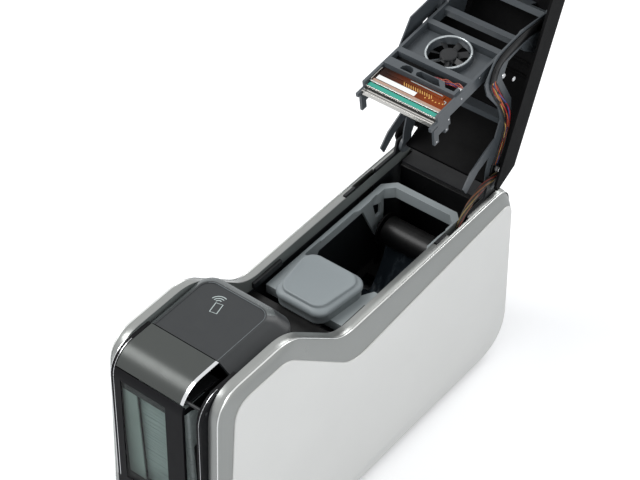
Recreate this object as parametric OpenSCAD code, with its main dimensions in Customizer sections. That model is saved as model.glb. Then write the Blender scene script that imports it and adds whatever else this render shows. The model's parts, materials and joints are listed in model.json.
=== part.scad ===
// Desktop card printer: upright slim body, front card hopper, fixed hood,
// and a rear-hinged lid that carries the print head over a lift-out ribbon cartridge.
// X is across the body, +Y runs from the front to the rear, +Z is up.
// The origin is on the desk, under the middle of the body.

/* [Body] */
// Width of the body over both side panels
body_w = 128; // [124:1:136]
// Depth of the body, front to rear
body_d = 420; // [410:2:440]
// Height of the two humps beside the hood
body_h = 252; // [248:1:258]
// Height of the rim beside the bay
rim_z = 197; // [195:1:200]
// Height of the rubber feet
foot_h = 4; // [3:0.5:6]

/* [Lid] */
// Opening angle of the lid
lid_open = 114; // [100:1:116]
// Half width of the lid
lid_half_w = 57; // [55:0.5:57]
// Wall thickness of the lid shell
lid_wall = 2.5; // [2:0.1:3]

/* [Card path] */
// Height of the roller axes
roller_z = 84.5; // [82:0.5:86]
// Radius of the card rollers
roller_r = 8; // [7:0.1:8]
// Width of a card
card_w = 54; // [50:1:56]
// Length of a card
card_l = 85.6; // [80:0.1:90]

/* [Ribbon cartridge] */
// Outer half width of the cartridge
cart_half_w = 44.4; // [43:0.1:44.5]
// Height of the top face of its frame
cart_top_z = 184; // [180:1:185]
// Half width of the ribbon film
film_half_w = 30; // [26:1:31]

/* [Hidden] */
$fn = 48;

half_w = body_w / 2;
front_y = -body_d / 2;
rear_y = body_d / 2;
eps = 0.01;

// Layers across the body, as distances from the middle plane
wall_in = 49.4;
wall_t = 2;
trim_in = 48.4;
arm_in = 45;
arm_t = 3;
rim_out = half_w - 7;
panel_face = half_w - 1.5;

// Lid hinge axis
hinge_y = 192;
hinge_z = 205;

// Front top corner of the closed lid, and the shift that centres the whole on the origin
lid_front = -71.4;
hood_z = body_h - 2;
lid_reach = hinge_y + (lid_front - hinge_y) * cos(lid_open) + (hood_z - hinge_z) * sin(lid_open);
frame_shift = -(lid_reach + front_y) / 2;

// Rollers along the card path
pick_y = -125;
front_roller_y = -70;
clean_y = -20;
mid_y = 45;
platen_y = 104.8;
pulley_r = 9;
belt_in = 52;
belt_w = 4.2;

// Spools, print head and cartridge
takeup_y = 28;
supply_y = 146;
spool_z = 140;
gear_m = 1;
takeup_teeth = 32;
ribbon_teeth = 20;
ribbon_gear_z = spool_z - gear_m * (takeup_teeth + ribbon_teeth) / 2;
head_y = 123;
head_z = 325;
head_tilt = 6;

/* ---------- helpers ---------- */

// Unit vector
function unit(v) = v / norm(v);
// Inward normal of a direction on an anticlockwise outline
function left_of(v) = [-v[1], v[0]];
// Outline of corners [y, z, radius] moved inwards by d
function inset(p, d) = [for (i = [0:len(p) - 1])
    let (a = p[(i + len(p) - 1) % len(p)], b = p[i], c = p[(i + 1) % len(p)],
         n1 = left_of(unit([b[0] - a[0], b[1] - a[1]])),
         n2 = left_of(unit([c[0] - b[0], c[1] - b[1]])),
         m = d * (n1 + n2) / (1 + n1 * n2))
    [b[0] + m[0], b[1] + m[1], max(b[2] - d, 2)]];
// Half the turn at a corner, as a tangent length for radius r
function corner_cut(a, b, c, r) =
    let (u = unit([b[0] - a[0], b[1] - a[1]]), v = unit([c[0] - b[0], c[1] - b[1]]),
         turn = acos(max(-1, min(1, u * v))))
    r * tan(turn / 2);
// Outline with each corner drawn as a curve of n steps
function rounded(p, n) = [for (i = [0:len(p) - 1])
    let (a = p[(i + len(p) - 1) % len(p)], b = p[i], c = p[(i + 1) % len(p)],
         u = unit([b[0] - a[0], b[1] - a[1]]), v = unit([c[0] - b[0], c[1] - b[1]]),
         t = corner_cut(a, b, c, b[2]), o = [b[0], b[1]])
    for (k = [0:n]) let (s = k / n)
        (1 - s) * (1 - s) * (o - t * u) + 2 * s * (1 - s) * o + s * s * (o + t * v)];
// Two corner lists blended, k from 0 to 1
function blend(p, q, k) = [for (i = [0:len(p) - 1]) (1 - k) * p[i] + k * q[i]];
// Faces of a solid made of m rings of n points, each end closed by a fan round a middle point
function ring_faces(m, n) = concat(
    [for (i = [0:n - 1]) [m * n, i, (i + 1) % n]],
    [for (j = [0:m - 2]) for (i = [0:n - 1])
        [j * n + i, (j + 1) * n + i, (j + 1) * n + (i + 1) % n, j * n + (i + 1) % n]],
    [for (i = [0:n - 1]) [m * n + 1, (m - 1) * n + (i + 1) % n, (m - 1) * n + i]]);
// Points of the rings, each ring being [x, outline], and the two middle points
function ring_points(rings) = concat(
    [for (r = rings) for (p = r[1]) [r[0], p[0], p[1]]],
    [[rings[0][0], fan_y, fan_z], [rings[len(rings) - 1][0], fan_y, fan_z]]);
// A point inside the side view from which its whole outline is in sight
fan_y = -60;
fan_z = 100;

module loft(rings) {
    n = len(rings[0][1]);
    polyhedron(points = ring_points(rings), faces = ring_faces(len(rings), n), convexity = 8);
}
// A finished piece: its colour, and its place with the open lid over the middle of the frame
module piece(c) {
    translate([0, frame_shift, 0]) color(c) children();
}
// An outline in the YZ plane extruded from x0 to x1
module plate_x(x0, x1) {
    translate([x0, 0, 0]) rotate([90, 0, 90]) linear_extrude(x1 - x0) children();
}
module rod_x(r, x0, x1, y, z) {
    translate([x0, y, z]) rotate([0, 90, 0]) cylinder(r = r, h = x1 - x0);
}
module block(x0, x1, y0, y1, z0, z1) {
    translate([x0, y0, z0]) cube([x1 - x0, y1 - y0, z1 - z0]);
}
module at_yz(y, z) {
    translate([y, z]) children();
}
module both_sides() {
    children();
    mirror([1, 0, 0]) children();
}
// Places a shape drawn for the closed lid where the open lid holds it
module on_lid() {
    translate([0, hinge_y, hinge_z]) rotate([-lid_open, 0, 0])
        translate([0, -hinge_y, -hinge_z]) children();
}
// Local frame of the print head: y runs back from the heater line, z is its face normal
module on_head() {
    translate([0, head_y, head_z]) rotate([head_tilt, 0, 0]) children();
}
// Rounded bar outline from corner a to corner b
module slot_2d(a, b, r) {
    hull() {
        at_yz(a[0], a[1]) circle(r);
        at_yz(b[0], b[1]) circle(r);
    }
}
// Spur gear with thin teeth, drawn in its own plane
module gear_2d(teeth, m, bore) {
    tip = m * (teeth / 2 + 0.8);
    root = m * (teeth / 2 - 1.15);
    step = 360 / teeth;
    difference() {
        union() {
            circle(root);
            for (i = [0:teeth - 1])
                rotate(i * step)
                    polygon([[root * 0.95, -root * sin(step * 0.24)],
                             [tip, -tip * sin(step * 0.12)],
                             [tip, tip * sin(step * 0.12)],
                             [root * 0.95, root * sin(step * 0.24)]]);
        }
        if (bore > 0) circle(bore);
    }
}
// Turn of gear b that meshes it with gear a, whose centre lies the other way along dir
function mesh_turn(ta, turn_a, tb, dir) =
    let (step = 360 / ta, off = turn_a - dir - step * round((turn_a - dir) / step))
    dir + 180 - off * ta / tb + 180 / tb;
module gear_x(teeth, m, x0, x1, y, z, turn, bore) {
    translate([x0, y, z]) rotate([90, 0, 90]) rotate(turn)
        linear_extrude(x1 - x0) gear_2d(teeth, m, bore);
}

/* ---------- side panels ---------- */

// Rim outline, anticlockwise seen from +X: [y, z, corner radius]
rim = [[front_y + 2, foot_h, 10], [rear_y, foot_h, 44], [rear_y + 1, rim_z, 20],
       [-33, rim_z, 46], [-99, body_h, 52], [front_y + 20, body_h, 30]];
// Edge of the flat outer panel
flat = [[front_y + 8, foot_h + 4, 10], [rear_y - 3, foot_h + 3, 42],
        [rear_y - 2, rim_z - 13, 14], [-27, rim_z - 30, 44], [-110, body_h - 12, 30],
        [front_y + 34, body_h - 12, 22]];
curve_n = 9;

module trim() {
    difference() {
        loft([[trim_in, rounded(inset(rim, -1.2), curve_n)],
              [trim_in + 4, rounded(inset(rim, -0.9), curve_n)],
              [rim_out - 1.2, rounded(inset(rim, 0), curve_n)],
              [rim_out, rounded(inset(rim, 1), curve_n)],
              [rim_out + 1.6, rounded(blend(rim, flat, 0.22), curve_n)],
              [rim_out + 3.2, rounded(blend(rim, flat, 0.5), curve_n)],
              [rim_out + 4.4, rounded(blend(rim, flat, 0.78), curve_n)],
              [panel_face, rounded(flat, curve_n)]]);
        loft([[trim_in - 2, rounded(inset(rim, 2.2), curve_n)],
              [rim_out - 4, rounded(inset(rim, 2.6), curve_n)],
              [rim_out - 1, rounded(inset(blend(rim, flat, 0.3), 2), curve_n)],
              [rim_out + 1.2, rounded(inset(blend(rim, flat, 0.8), 2), curve_n)],
              [panel_face - 2.3, rounded(inset(flat, 2), curve_n)]]);
        // Rim cut back for the hinge cheeks and, further, for the wires
        block(trim_in - 3, 52.4, 106, 204, 185, 206);
        block(trim_in - 3, 54.4, 122, 152, 185, 206);
    }
}
module right_trim() piece([0.74, 0.75, 0.75]) trim();
module left_trim() piece([0.74, 0.75, 0.75]) mirror([1, 0, 0]) trim();

module panel() {
    loft([[panel_face, rounded(inset(flat, 0.6), curve_n)],
          [half_w - 0.5, rounded(inset(flat, 0.6), curve_n)],
          [half_w, rounded(inset(flat, 1.3), curve_n)]]);
}
module right_panel() piece([0.86, 0.86, 0.85]) panel();
module left_panel() piece([0.86, 0.86, 0.85]) mirror([1, 0, 0]) panel();

/* ---------- base, feet and chassis ---------- */

tray_half_w = trim_in;
tray_rail_z = 22;

module base_tray() {
    piece([0.13, 0.13, 0.14]) difference() {
        union() {
            block(-tray_half_w, tray_half_w, front_y + 3.1, rear_y - 30, foot_h, tray_rail_z);
            for (x = [-36, 36]) for (y = [-165, 160])
                translate([x, y, foot_h]) cylinder(r = 10, h = 6);
        }
        block(-tray_half_w + 3, tray_half_w - 3, front_y + 6, rear_y - 33, foot_h + 3,
              tray_rail_z + 1);
        // Air slots under the board
        for (i = [0:7]) block(-24, 24, 40 + i * 12, 45 + i * 12, foot_h - 1, foot_h + 4);
    }
}
module rubber_feet() {
    piece([0.08, 0.08, 0.08]) for (x = [-36, 36]) for (y = [-165, 160])
        translate([x, y, 0]) cylinder(r1 = 7.5, r2 = 9, h = foot_h);
}

// Bearing holes through both side plates
module bearing_holes() {
    for (y = [pick_y, front_roller_y, clean_y, mid_y, platen_y])
        at_yz(y, roller_z) circle(3.05);
    at_yz(front_roller_y, roller_z + roller_r + 5.9) circle(2.05);
    at_yz(hinge_y, hinge_z) circle(3.05);
    // Motor shaft
    at_yz(motor_y, motor_z) circle(2.2);
}
module chassis_2d() {
    difference() {
        polygon([[front_y + 14, tray_rail_z], [172, tray_rail_z], [200, 60], [200, 212],
                 [184, 212], [178, 191], [-28, 191], [-44, 197], [-94, 238],
                 [-172, 238], [-184, 226]]);
        bearing_holes();
        // Weight-saving windows
        at_yz(-150, 40) square([70, 26]);
        at_yz(-40, 40) square([70, 26]);
        // Ways through for the wires
        at_yz(126, 168) square([22, 30]);
        at_yz(129, 50) square([14, 26]);
    }
}
module chassis_plate() {
    plate_x(wall_in, wall_in + wall_t) chassis_2d();
    // Foot flange on the tray rail
    block(40, wall_in + eps, front_y + 14, 172, tray_rail_z, tray_rail_z + 2);
    // Ledge beside the front of the bay
    block(arm_in + 0.3, wall_in + eps, -26, 12, 188, 194);
    // Dark caps over the cut-back rim
    for (y = [[107, 121.5], [152.5, 182]])
        block(wall_in, 52.2, y[0], y[1], 188, 199);
}
module right_chassis() piece([0.22, 0.23, 0.24]) chassis_plate();
module left_chassis() piece([0.22, 0.23, 0.24]) mirror([1, 0, 0]) chassis_plate();

/* ---------- bay liner ---------- */

deck_z = 94;
motor_y = platen_y + 18;
motor_z = roller_z - 21.4;

module bay_liner() {
    piece([0.07, 0.07, 0.08]) {
        difference() {
            union() {
                // Shelf behind the hood, the front wall, the card deck and the rear wall
                plate_x(-wall_in, wall_in) polygon([[-79, 182], [-23, 182], [-14.5, 171],
                    [-6, 120], [-6, deck_z - 3], [-9, deck_z - 3], [-9, 119],
                    [-17.5, 169], [-25, 178], [-79, 178]]);
                block(-wall_in, wall_in, -9, 184, deck_z - 5, deck_z - 2.6);
                block(-44, 44, 182, 185, deck_z - 5, 187.8);
                // Rib rows on the deck
                for (x = [-32, -16, 0, 16, 32])
                    for (y = [64, 128])
                        block(x - 1, x + 1, y, y + 26, deck_z - 3, deck_z - 1.8);
            }
            block(-34, 34, mid_y - roller_r - 1.5, mid_y + roller_r + 1.5, deck_z - 8, deck_z);
            block(-42, 42, platen_y - 12, platen_y + 24, deck_z - 8, deck_z);
            // Slots for the latch hooks
            both_sides() block(33.5, 42.5, -73, -52, 176, 184);
        }
        // Seats that carry the cartridge
        both_sides() block(41.4, 44.7, 20, 36, deck_z - 2.6 - eps, 129);
        both_sides() block(41.4, 44.7, 142, 150, deck_z - 2.6 - eps, 130);
    }
}

/* ---------- hood ---------- */

hood_left = -43;
hood_right = 27;
hood_front = -153;
hood_rear = -73;

module hood_outline(x0, x1, y1, r) {
    hull() {
        translate([x0, hood_front]) square([x1 - x0, 1]);
        translate([x0 + r, y1 - r]) circle(r);
        translate([x1 - r, y1 - r]) circle(r);
    }
}
module hood_form(d, zt) {
    hull() {
        translate([0, 0, zt - 1.2]) linear_extrude(1.2)
            hood_outline(hood_left + d, hood_right - d, hood_rear - 12 - d, 12);
        // Shallow shoulder on the left and at the rear
        translate([0, 0, hood_z - 4]) linear_extrude(0.5)
            hood_outline(hood_left - 5 + d, hood_right + 5 - d, hood_rear - 5 - d, 14);
        translate([0, 0, hood_z - 12]) linear_extrude(0.5)
            hood_outline(hood_left - 5 + d, hood_right + 16 - d, hood_rear - d, 16);
    }
    translate([0, 0, 182]) linear_extrude(hood_z - 12 - 182 + eps)
        hood_outline(hood_left - 5 + d, hood_right + 16 - d, hood_rear - d, 16);
}
module hood() {
    piece([0.2, 0.21, 0.22]) {
        difference() {
            hood_form(0, hood_z);
            translate([0, -3, -2.5]) hood_form(2.5, hood_z);
        }
        // Ledges that sit on the side plates
        block(-wall_in, -45, -104, -90, 205, 208);
        block(40, wall_in, -104, -90, 205, 208);
    }
}

/* ---------- hopper and front ---------- */

front_top_r = 25;
lip_y = -201;
// Axis of the flap
pin_y = -193.3;
pin_z = 237.7;
// Front outline of the hopper, from the split with the hood down to its foot
function front_curve(d, n) = [for (k = [0:n]) let (a = 90 + 88 * k / n)
    [-176 + (front_top_r - d) * cos(a), hood_z - front_top_r + (front_top_r - d) * sin(a)]];
front_foot = [front_y + 3, 88];
flap_steps = 12;

module front_skin_2d(d0, d1) {
    polygon(concat([[hood_front - 0.8, hood_z - d0]], front_curve(d0, flap_steps),
        [[front_foot[0] + d0, front_foot[1]], [front_foot[0] + d1, front_foot[1]]],
        [for (k = [flap_steps:-1:0]) front_curve(d1, flap_steps)[k]],
        [[hood_front - 0.8, hood_z - d1]]));
}
module front_frame() {
    piece([0.24, 0.25, 0.26]) difference() {
        union() {
            plate_x(-48.2, 48.2) front_skin_2d(0, 3);
            // Cheeks beside the card channel
            for (x = [-48.2, 45.7]) plate_x(x, x + 2.5) polygon([[hood_front - 1, 248],
                [-176, 248], [-189, 243.4], [-197.4, 232], [-199, 226],
                [front_foot[0] + 1, 88], [-170, 88],
                [-170, 200], [hood_front - 1, 210]]);
            // Lower face with the output mouth, and its side returns
            block(-trim_in + 0.4, trim_in - 0.4, front_y, front_y + 3, foot_h + 1, 90);
            for (x = [-trim_in + 0.4, trim_in - 3.4])
                block(x, x + 3, front_y, front_y + 14, tray_rail_z, 90);
            // Ledge that joins the skin to the lower face
            block(-trim_in + 0.4, trim_in - 0.4, front_y + 2, front_foot[0] + 4, 85, 90);
        }
        // Ends of the flap pin
        rod_x(1.5, -50, 50, pin_y, pin_z);
        // Opening for the flap
        rod_x(5.2, -44.5, 28.5, pin_y, pin_z);
        block(-44.5, 28.5, -210, hood_front + 2, 236.4, 260);
        // Window opening
        block(-38, 10, -215, -190, 112, 226);
        // Open card channel on the right
        block(28.4, 43, -215, hood_front + 2, 100, 260);
        // Output mouth
        block(-33, 33, front_y - 1, front_y + 4, 26, 74);
    }
}
module hopper_window() {
    piece([0.25, 0.28, 0.28, 0.55]) intersection() {
        plate_x(-38, 10) front_skin_2d(0.5, 2.7);
        block(-38, 10, -215, -190, 112, 226);
    }
}
module flap_band_2d(d0, d1) {
    intersection() {
        front_skin_2d(d0, d1);
        at_yz(-198.6, 237) square([hood_front - 0.8 + 198.6, 20]);
    }
}
module hopper_flap() {
    piece([0.22, 0.23, 0.24]) difference() {
        union() {
            plate_x(-44, 24.6) flap_band_2d(0, 2.4);
            // Knuckle round the pivot pin
            rod_x(3, -43.5, 24.6, pin_y, pin_z);
        }
        rod_x(1.55, -46, 30, pin_y, pin_z);
    }
}
module flap_strip() {
    piece([0.85, 0.86, 0.87]) difference() {
        plate_x(24.6, 28) flap_band_2d(-0.3, 2.2);
        rod_x(1.55, 20, 30, pin_y, pin_z);
    }
}
module flap_pin() {
    piece([0.7, 0.7, 0.7]) rod_x(1.5, -48.2, 48.2, pin_y, pin_z);
}

mag_z = 94.2;
mag_top = 181.5;
stack_top = 226;
module card_magazine() {
    piece([0.08, 0.08, 0.09]) difference() {
        union() {
            block(-45.5, 45.5, -197, -108, mag_z - 3, mag_top);
            block(-wall_in, wall_in, -166, -108, mag_z - 3, mag_top);
        }
        // Card well
        block(-card_w / 2 - 1, card_w / 2 + 1, -194, -194 + card_l + 2, mag_z, 206);
        // Front cut for the window and the finger channel
        block(-38, 43.5, -198, -190, mag_z + 16, 206);
        block(card_w / 2 + 3, 43, -190, -111, mag_z, 206);
        block(-43, -card_w / 2 - 3, -194, -111, mag_z, 206);
        // Slot over the pick roller
        block(-20, 20, pick_y - 11, pick_y + 11, mag_z - 5, mag_z + 1);
    }
}
module card_stack() {
    piece([0.72, 0.76, 0.76]) difference() {
        block(-card_w / 2, card_w / 2, -193, -193 + card_l, mag_z, stack_top);
        for (i = [1:10]) block(-card_w, card_w, -193.5, -192.6, mag_z + i * 12,
                               mag_z + i * 12 + 0.5);
    }
}
module card_weight() {
    piece([0.2, 0.2, 0.21]) {
        block(-24, 24, -186, -118, stack_top, stack_top + 3);
        block(-16, 16, -170, -134, stack_top + 3 - eps, stack_top + 7);
        block(24 - eps, 39, -168, -150, stack_top, stack_top + 2);
    }
}
module output_tray() {
    piece([0.16, 0.17, 0.18]) difference() {
        block(-31, 31, front_y, front_y + 92, 27, 72);
        block(-28.5, 28.5, front_y - 1, front_y + 89, 30, 73);
        // Thumb cut
        translate([0, front_y - 2, 46]) rotate([-90, 0, 0]) cylinder(r = 15, h = 8);
    }
    piece([0.16, 0.17, 0.18]) for (x = [-26, 22])
        block(x, x + 4, front_y + 12, front_y + 80, foot_h + 3, 27 + eps);
}

/* ---------- rollers, belt, motors ---------- */

module sleeve(y, half) {
    difference() {
        rod_x(roller_r, -half, half, y, roller_z);
        rod_x(3.5, -half - 1, half + 1, y, roller_z);
    }
}
module shaft(y, x0) {
    rod_x(3, -belt_in - belt_w - 0.2, wall_in + wall_t + 1, y, roller_z);
    rod_x(3.5, -45, 45, y, roller_z);
    rod_x(pulley_r, -belt_in - belt_w, -belt_in, y, roller_z);
    if (x0 < 0) rod_x(3, x0, -belt_in, y, roller_z);
}
module pick_sleeve() piece([0.12, 0.12, 0.12]) sleeve(pick_y, 17);
module pick_shaft() piece([0.75, 0.75, 0.76]) shaft(pick_y, 0);
module front_sleeve() piece([0.12, 0.12, 0.12]) sleeve(front_roller_y, 26);
module front_shaft() piece([0.75, 0.75, 0.76]) shaft(front_roller_y, 0);
module mid_sleeve() piece([0.12, 0.12, 0.12]) sleeve(mid_y, 30);
module mid_shaft() piece([0.75, 0.75, 0.76]) shaft(mid_y, 0);
module platen_sleeve() piece([0.1, 0.1, 0.1]) sleeve(platen_y, 32);
module platen_shaft() {
    piece([0.75, 0.75, 0.76]) {
        shaft(platen_y, -59.6);
        gear_x(56, 0.8, -59.4, -56.8, platen_y, roller_z, 0, 0);
    }
}
module cleaning_roller() {
    piece([0.35, 0.45, 0.55]) {
        rod_x(6.5, -28, 28, clean_y, roller_z);
        rod_x(3, -wall_in - wall_t - 1, wall_in + wall_t + 1, clean_y, roller_z);
    }
}
module pinch_roller() {
    piece([0.3, 0.3, 0.31]) {
        rod_x(5, -24, 24, front_roller_y, roller_z + roller_r + 5.9);
        rod_x(2, -wall_in - wall_t - 1, wall_in + wall_t + 1, front_roller_y,
              roller_z + roller_r + 5.9);
    }
}
module drive_belt() {
    piece([0.1, 0.1, 0.1]) plate_x(-belt_in - belt_w + 0.3, -belt_in - 0.3) difference() {
        slot_2d([pick_y, roller_z], [platen_y, roller_z], pulley_r + 1.6);
        slot_2d([pick_y, roller_z], [platen_y, roller_z], pulley_r + 0.35);
    }
}
module drive_motor() {
    piece([0.6, 0.6, 0.62]) difference() {
        union() {
            rod_x(17.5, -wall_in, -20, motor_y, motor_z);
            rod_x(6, -20 - eps, -17, motor_y, motor_z);
        }
        rod_x(1.55, -wall_in - 1, -30, motor_y, motor_z);
    }
}
pinion_dir = atan2(motor_z - roller_z, motor_y - platen_y);
pinion_turn = mesh_turn(56, 0, 14, pinion_dir);
module motor_pinion() {
    piece([0.8, 0.7, 0.35]) {
        gear_x(14, 0.8, -59.4, -56.6, motor_y, motor_z, pinion_turn, 0);
        rod_x(1.5, -56.7, -31, motor_y, motor_z);
    }
}
module ribbon_motor() {
    piece([0.55, 0.55, 0.57]) {
        difference() {
            rod_x(8.2, -35.5, -4, takeup_y, ribbon_gear_z);
            rod_x(1.55, -36, -20, takeup_y, ribbon_gear_z);
        }
        // Bracket down to the deck
        difference() {
            block(-35.5, -33.5, takeup_y - 9, takeup_y + 9, deck_z - 2.6, ribbon_gear_z);
            rod_x(8, -36, -33, takeup_y, ribbon_gear_z);
        }
    }
}
module ribbon_gear() {
    piece([0.85, 0.83, 0.75]) {
        gear_x(ribbon_teeth, gear_m, -40.4, -37, takeup_y, ribbon_gear_z, 90, 0);
        rod_x(1.5, -37 - eps, -22, takeup_y, ribbon_gear_z);
    }
}

/* ---------- board, rear and fasteners ---------- */

module main_board() {
    piece([0.1, 0.35, 0.2]) {
        block(-44, 44, 20, 190, 34, 35.6);
        for (x = [-40, 37]) for (y = [24, 166])
            block(x, x + 3, y, y + 6, foot_h + 3, 34 + eps);
    }
    piece([0.15, 0.15, 0.15]) {
        block(-20, 2, 60, 82, 35.6 - eps, 38);
        block(14, 34, 54, 66, 35.6 - eps, 39);
        block(-36, -26, 110, 150, 35.6 - eps, 44);
        for (i = [0:3]) translate([28, 92 + i * 13, 35.6 - eps]) cylinder(r = 5, h = 13);
    }
}
module rear_cover() {
    piece([0.16, 0.16, 0.17]) difference() {
        union() {
            block(-trim_in, trim_in, rear_y - 3.5, rear_y - 1, 40, 190);
            // Lower part leans in above the tray
            plate_x(-trim_in, trim_in) polygon([[rear_y - 30, foot_h], [rear_y - 27, foot_h],
                [rear_y - 1, 40 + eps], [rear_y - 3.5, 40 + eps]]);
            // Deck behind the bay
            block(-trim_in, trim_in, 201, rear_y - 1, 188, 190);
            block(-44.6, 44.6, 185, 201 + eps, 188, 190);
        }
        block(-31.2, -2.8, rear_y - 8, rear_y, 60.8, 81.2);
        block(7.8, 38.2, rear_y - 8, rear_y, 60.8, 77.2);
        translate([22, rear_y - 8, 98]) rotate([-90, 0, 0]) cylinder(r = 7.1, h = 8);
        for (x = [-43, 43]) for (z = [100, 150]) translate([x, rear_y - 8, z])
            rotate([-90, 0, 0]) cylinder(r = 1.5, h = 8);
        // Vent slots
        for (i = [0:6]) block(-32, 32, rear_y - 8, rear_y, 116 + i * 9, 120 + i * 9);
    }
}
module power_inlet() {
    piece([0.06, 0.06, 0.06]) difference() {
        block(-31, -3, rear_y - 24, rear_y - 0.6, 61, 81);
        block(-28.5, -5.5, rear_y - 18, rear_y, 63.5, 78.5);
    }
    piece([0.06, 0.06, 0.06]) block(-19, -15, rear_y - 19, rear_y - 5, 70, 72);
    piece([0.06, 0.06, 0.06]) block(-31, -3, rear_y - 27, rear_y - 24 + eps, 35.6, 81);
}
module data_ports() {
    piece([0.7, 0.7, 0.72]) {
        difference() {
            block(8, 22, rear_y - 24, rear_y - 0.6, 61, 77);
            block(9.5, 20.5, rear_y - 18, rear_y, 63, 74);
        }
        difference() {
            block(24, 38, rear_y - 24, rear_y - 0.6, 61, 77);
            block(25.5, 36.5, rear_y - 18, rear_y, 63, 75);
        }
        block(21.9, 24.1, rear_y - 24, rear_y - 14, 61, 77);
        block(8, 38, rear_y - 27, rear_y - 24 + eps, 35.6, 77);
    }
}
module power_button() {
    piece([0.3, 0.3, 0.31]) {
        translate([22, rear_y - 13, 98]) rotate([-90, 0, 0]) cylinder(r = 6.8, h = 14);
        translate([22, rear_y - 13.8, 98]) rotate([-90, 0, 0]) cylinder(r = 8.5, h = 2);
    }
}
module case_screws() {
    piece([0.6, 0.6, 0.6]) for (x = [-43, 43]) for (z = [100, 150])
        translate([x, rear_y - 7, z]) rotate([-90, 0, 0]) difference() {
            union() {
                cylinder(r = 1.5, h = 7);
                translate([0, 0, 6]) cylinder(r = 3, h = 1.8);
            }
            translate([0, 0, 6.9]) cylinder(r = 1.2, h = 2, $fn = 6);
        }
}

/* ---------- lid ---------- */

lid_bottom = rim_z + 3.6;

module lid_section(d) {
    polygon([[-lid_half_w + d, 150], [-lid_half_w + d, 232 - d], [-52 + d * 0.8, 243 - d],
             [-44, 249 - d], [-38, hood_z - d], [22, hood_z - d], [29, 249.2 - d],
             [42 - d * 0.3, 243.6 - d], [52 - d * 0.7, 234 - d], [lid_half_w - d, 224 - d],
             [lid_half_w - d, 150]]);
}
// Side view of the closed lid: the lower edge follows the rim of the body
function lid_side(d) = [[lid_front, 232], [-64, 225], [-51, 215.6], [-38, 206],
    [-26, 201.6], [-12, lid_bottom], [188, lid_bottom], [194, 206 - d],
    [172, 224 - d], [152, 237 - d], [130, 245.5 - d], [104, hood_z - d + 0.0],
    [lid_front, hood_z - d]];
module lid_shell() {
    piece([0.09, 0.09, 0.1]) on_lid() difference() {
        intersection() {
            translate([0, 300, 0]) rotate([90, 0, 0]) linear_extrude(600) lid_section(0);
            plate_x(-70, 70) polygon(lid_side(0));
        }
        intersection() {
            translate([0, 300, 0]) rotate([90, 0, 0]) linear_extrude(600)
                lid_section(lid_wall);
            plate_x(-70, 70) polygon(concat([[lid_front + lid_wall, 150], [191.5, 150]],
                [[191.5, 204], [171, 221.4], [151, 234.4], [129, 243], [104, hood_z - lid_wall],
                 [lid_front + lid_wall, hood_z - lid_wall]]));
        }
        // Wells for the display, the keys and the latch button
        block(-26, 10, -40, -4, hood_z - 1.5, hood_z + 2);
        for (x = [-17, 1]) translate([x, 10, hood_z - 4]) cylinder(r = 5.3, h = 6);
        block(-20.3, 4.3, -66.3, -51.7, hood_z - 4, hood_z + 2);
        // Slots for the arms and the hinge cheeks
        both_sides() block(44.6, 53.2, 168, 200, 180, 219);
    }
}
module arm_2d() {
    // C-shaped arm in the side view of the open lid
    difference() {
        polygon([[186, 199], [198, 199], [200, 214], [214, 238], [224, 262], [222, 286],
                 [206, 316], [214, 332], [240, 336], [280, 336], [284, 348], [236, 353],
                 [196, 348], [180, 326],
                 [184, 312], [202, 288], [207, 270], [200, 254], [184, 248], [164, 238],
                 [153, 226], [158, 218], [176, 232], [192, 238], [188, 222]]);
        at_yz(hinge_y, hinge_z) circle(3);
    }
}
// Head pivot, in the closed lid's place
pivot_open = [head_y + 122 * cos(head_tilt), head_z + 122 * sin(head_tilt)]
    - [hinge_y, hinge_z];
pivot_y = hinge_y + pivot_open[0] * cos(lid_open) - pivot_open[1] * sin(lid_open);
pivot_z = hinge_z + pivot_open[0] * sin(lid_open) + pivot_open[1] * cos(lid_open);
module lid_frame() {
    piece([0.36, 0.38, 0.4]) {
        both_sides() plate_x(arm_in, arm_in + 1.3) arm_2d();
        // Stiffening edge flanges and the hinge lugs
        both_sides() plate_x(arm_in, arm_in + arm_t) difference() {
            at_yz(hinge_y, hinge_z) circle(8);
            at_yz(hinge_y, hinge_z) circle(3);
        }
        // Cross bar low behind the head, and the bar that carries the head pivot
        block(-arm_in - eps, arm_in + eps, 210, 220, 262, 268);
        on_lid() {
            // Brackets that carry the head pivot
            both_sides() plate_x(41.2, arm_in + eps) difference() {
                polygon([[40, 200], [44, 190.5], [56, 190.5], [62, 200], [70, 235], [30, 235]]);
                at_yz(pivot_y, pivot_z) circle(2.05);
            }
            both_sides() block(41.2, 48, 28, 66, 226, 231);
            block(-44, 44, 32, 38, 230, 236);
            block(-38, 20, 32, 38, 236 - eps, hood_z - lid_wall);
        }
    }
}
module hinge_pins() {
    piece([0.75, 0.75, 0.76]) both_sides()
        rod_x(3, arm_in, wall_in + wall_t, hinge_y, hinge_z);
}
module control_panel() {
    piece([0.05, 0.07, 0.09]) on_lid() difference() {
        block(-25.6, 9.6, -39.6, -4.4, hood_z - 1.5, hood_z - 0.2);
        block(-21, 5, -34, -10, hood_z - 0.5, hood_z);
    }
}
module key_cap(x) {
    on_lid() {
        translate([x, 10, hood_z - 4 + 0.8]) cylinder(r = 5, h = 3.7);
    }
}
module menu_key() piece([0.3, 0.31, 0.32]) key_cap(-17);
module select_key() piece([0.3, 0.31, 0.32]) key_cap(1);
module latch_button() {
    piece([0.35, 0.36, 0.38]) on_lid() {
        block(-20, 4, -66, -52, hood_z - 5, hood_z + 0.6);
        block(-22, 6, -67, -50, hood_z - 6.5, hood_z - 5 + eps);
    }
}
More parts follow.
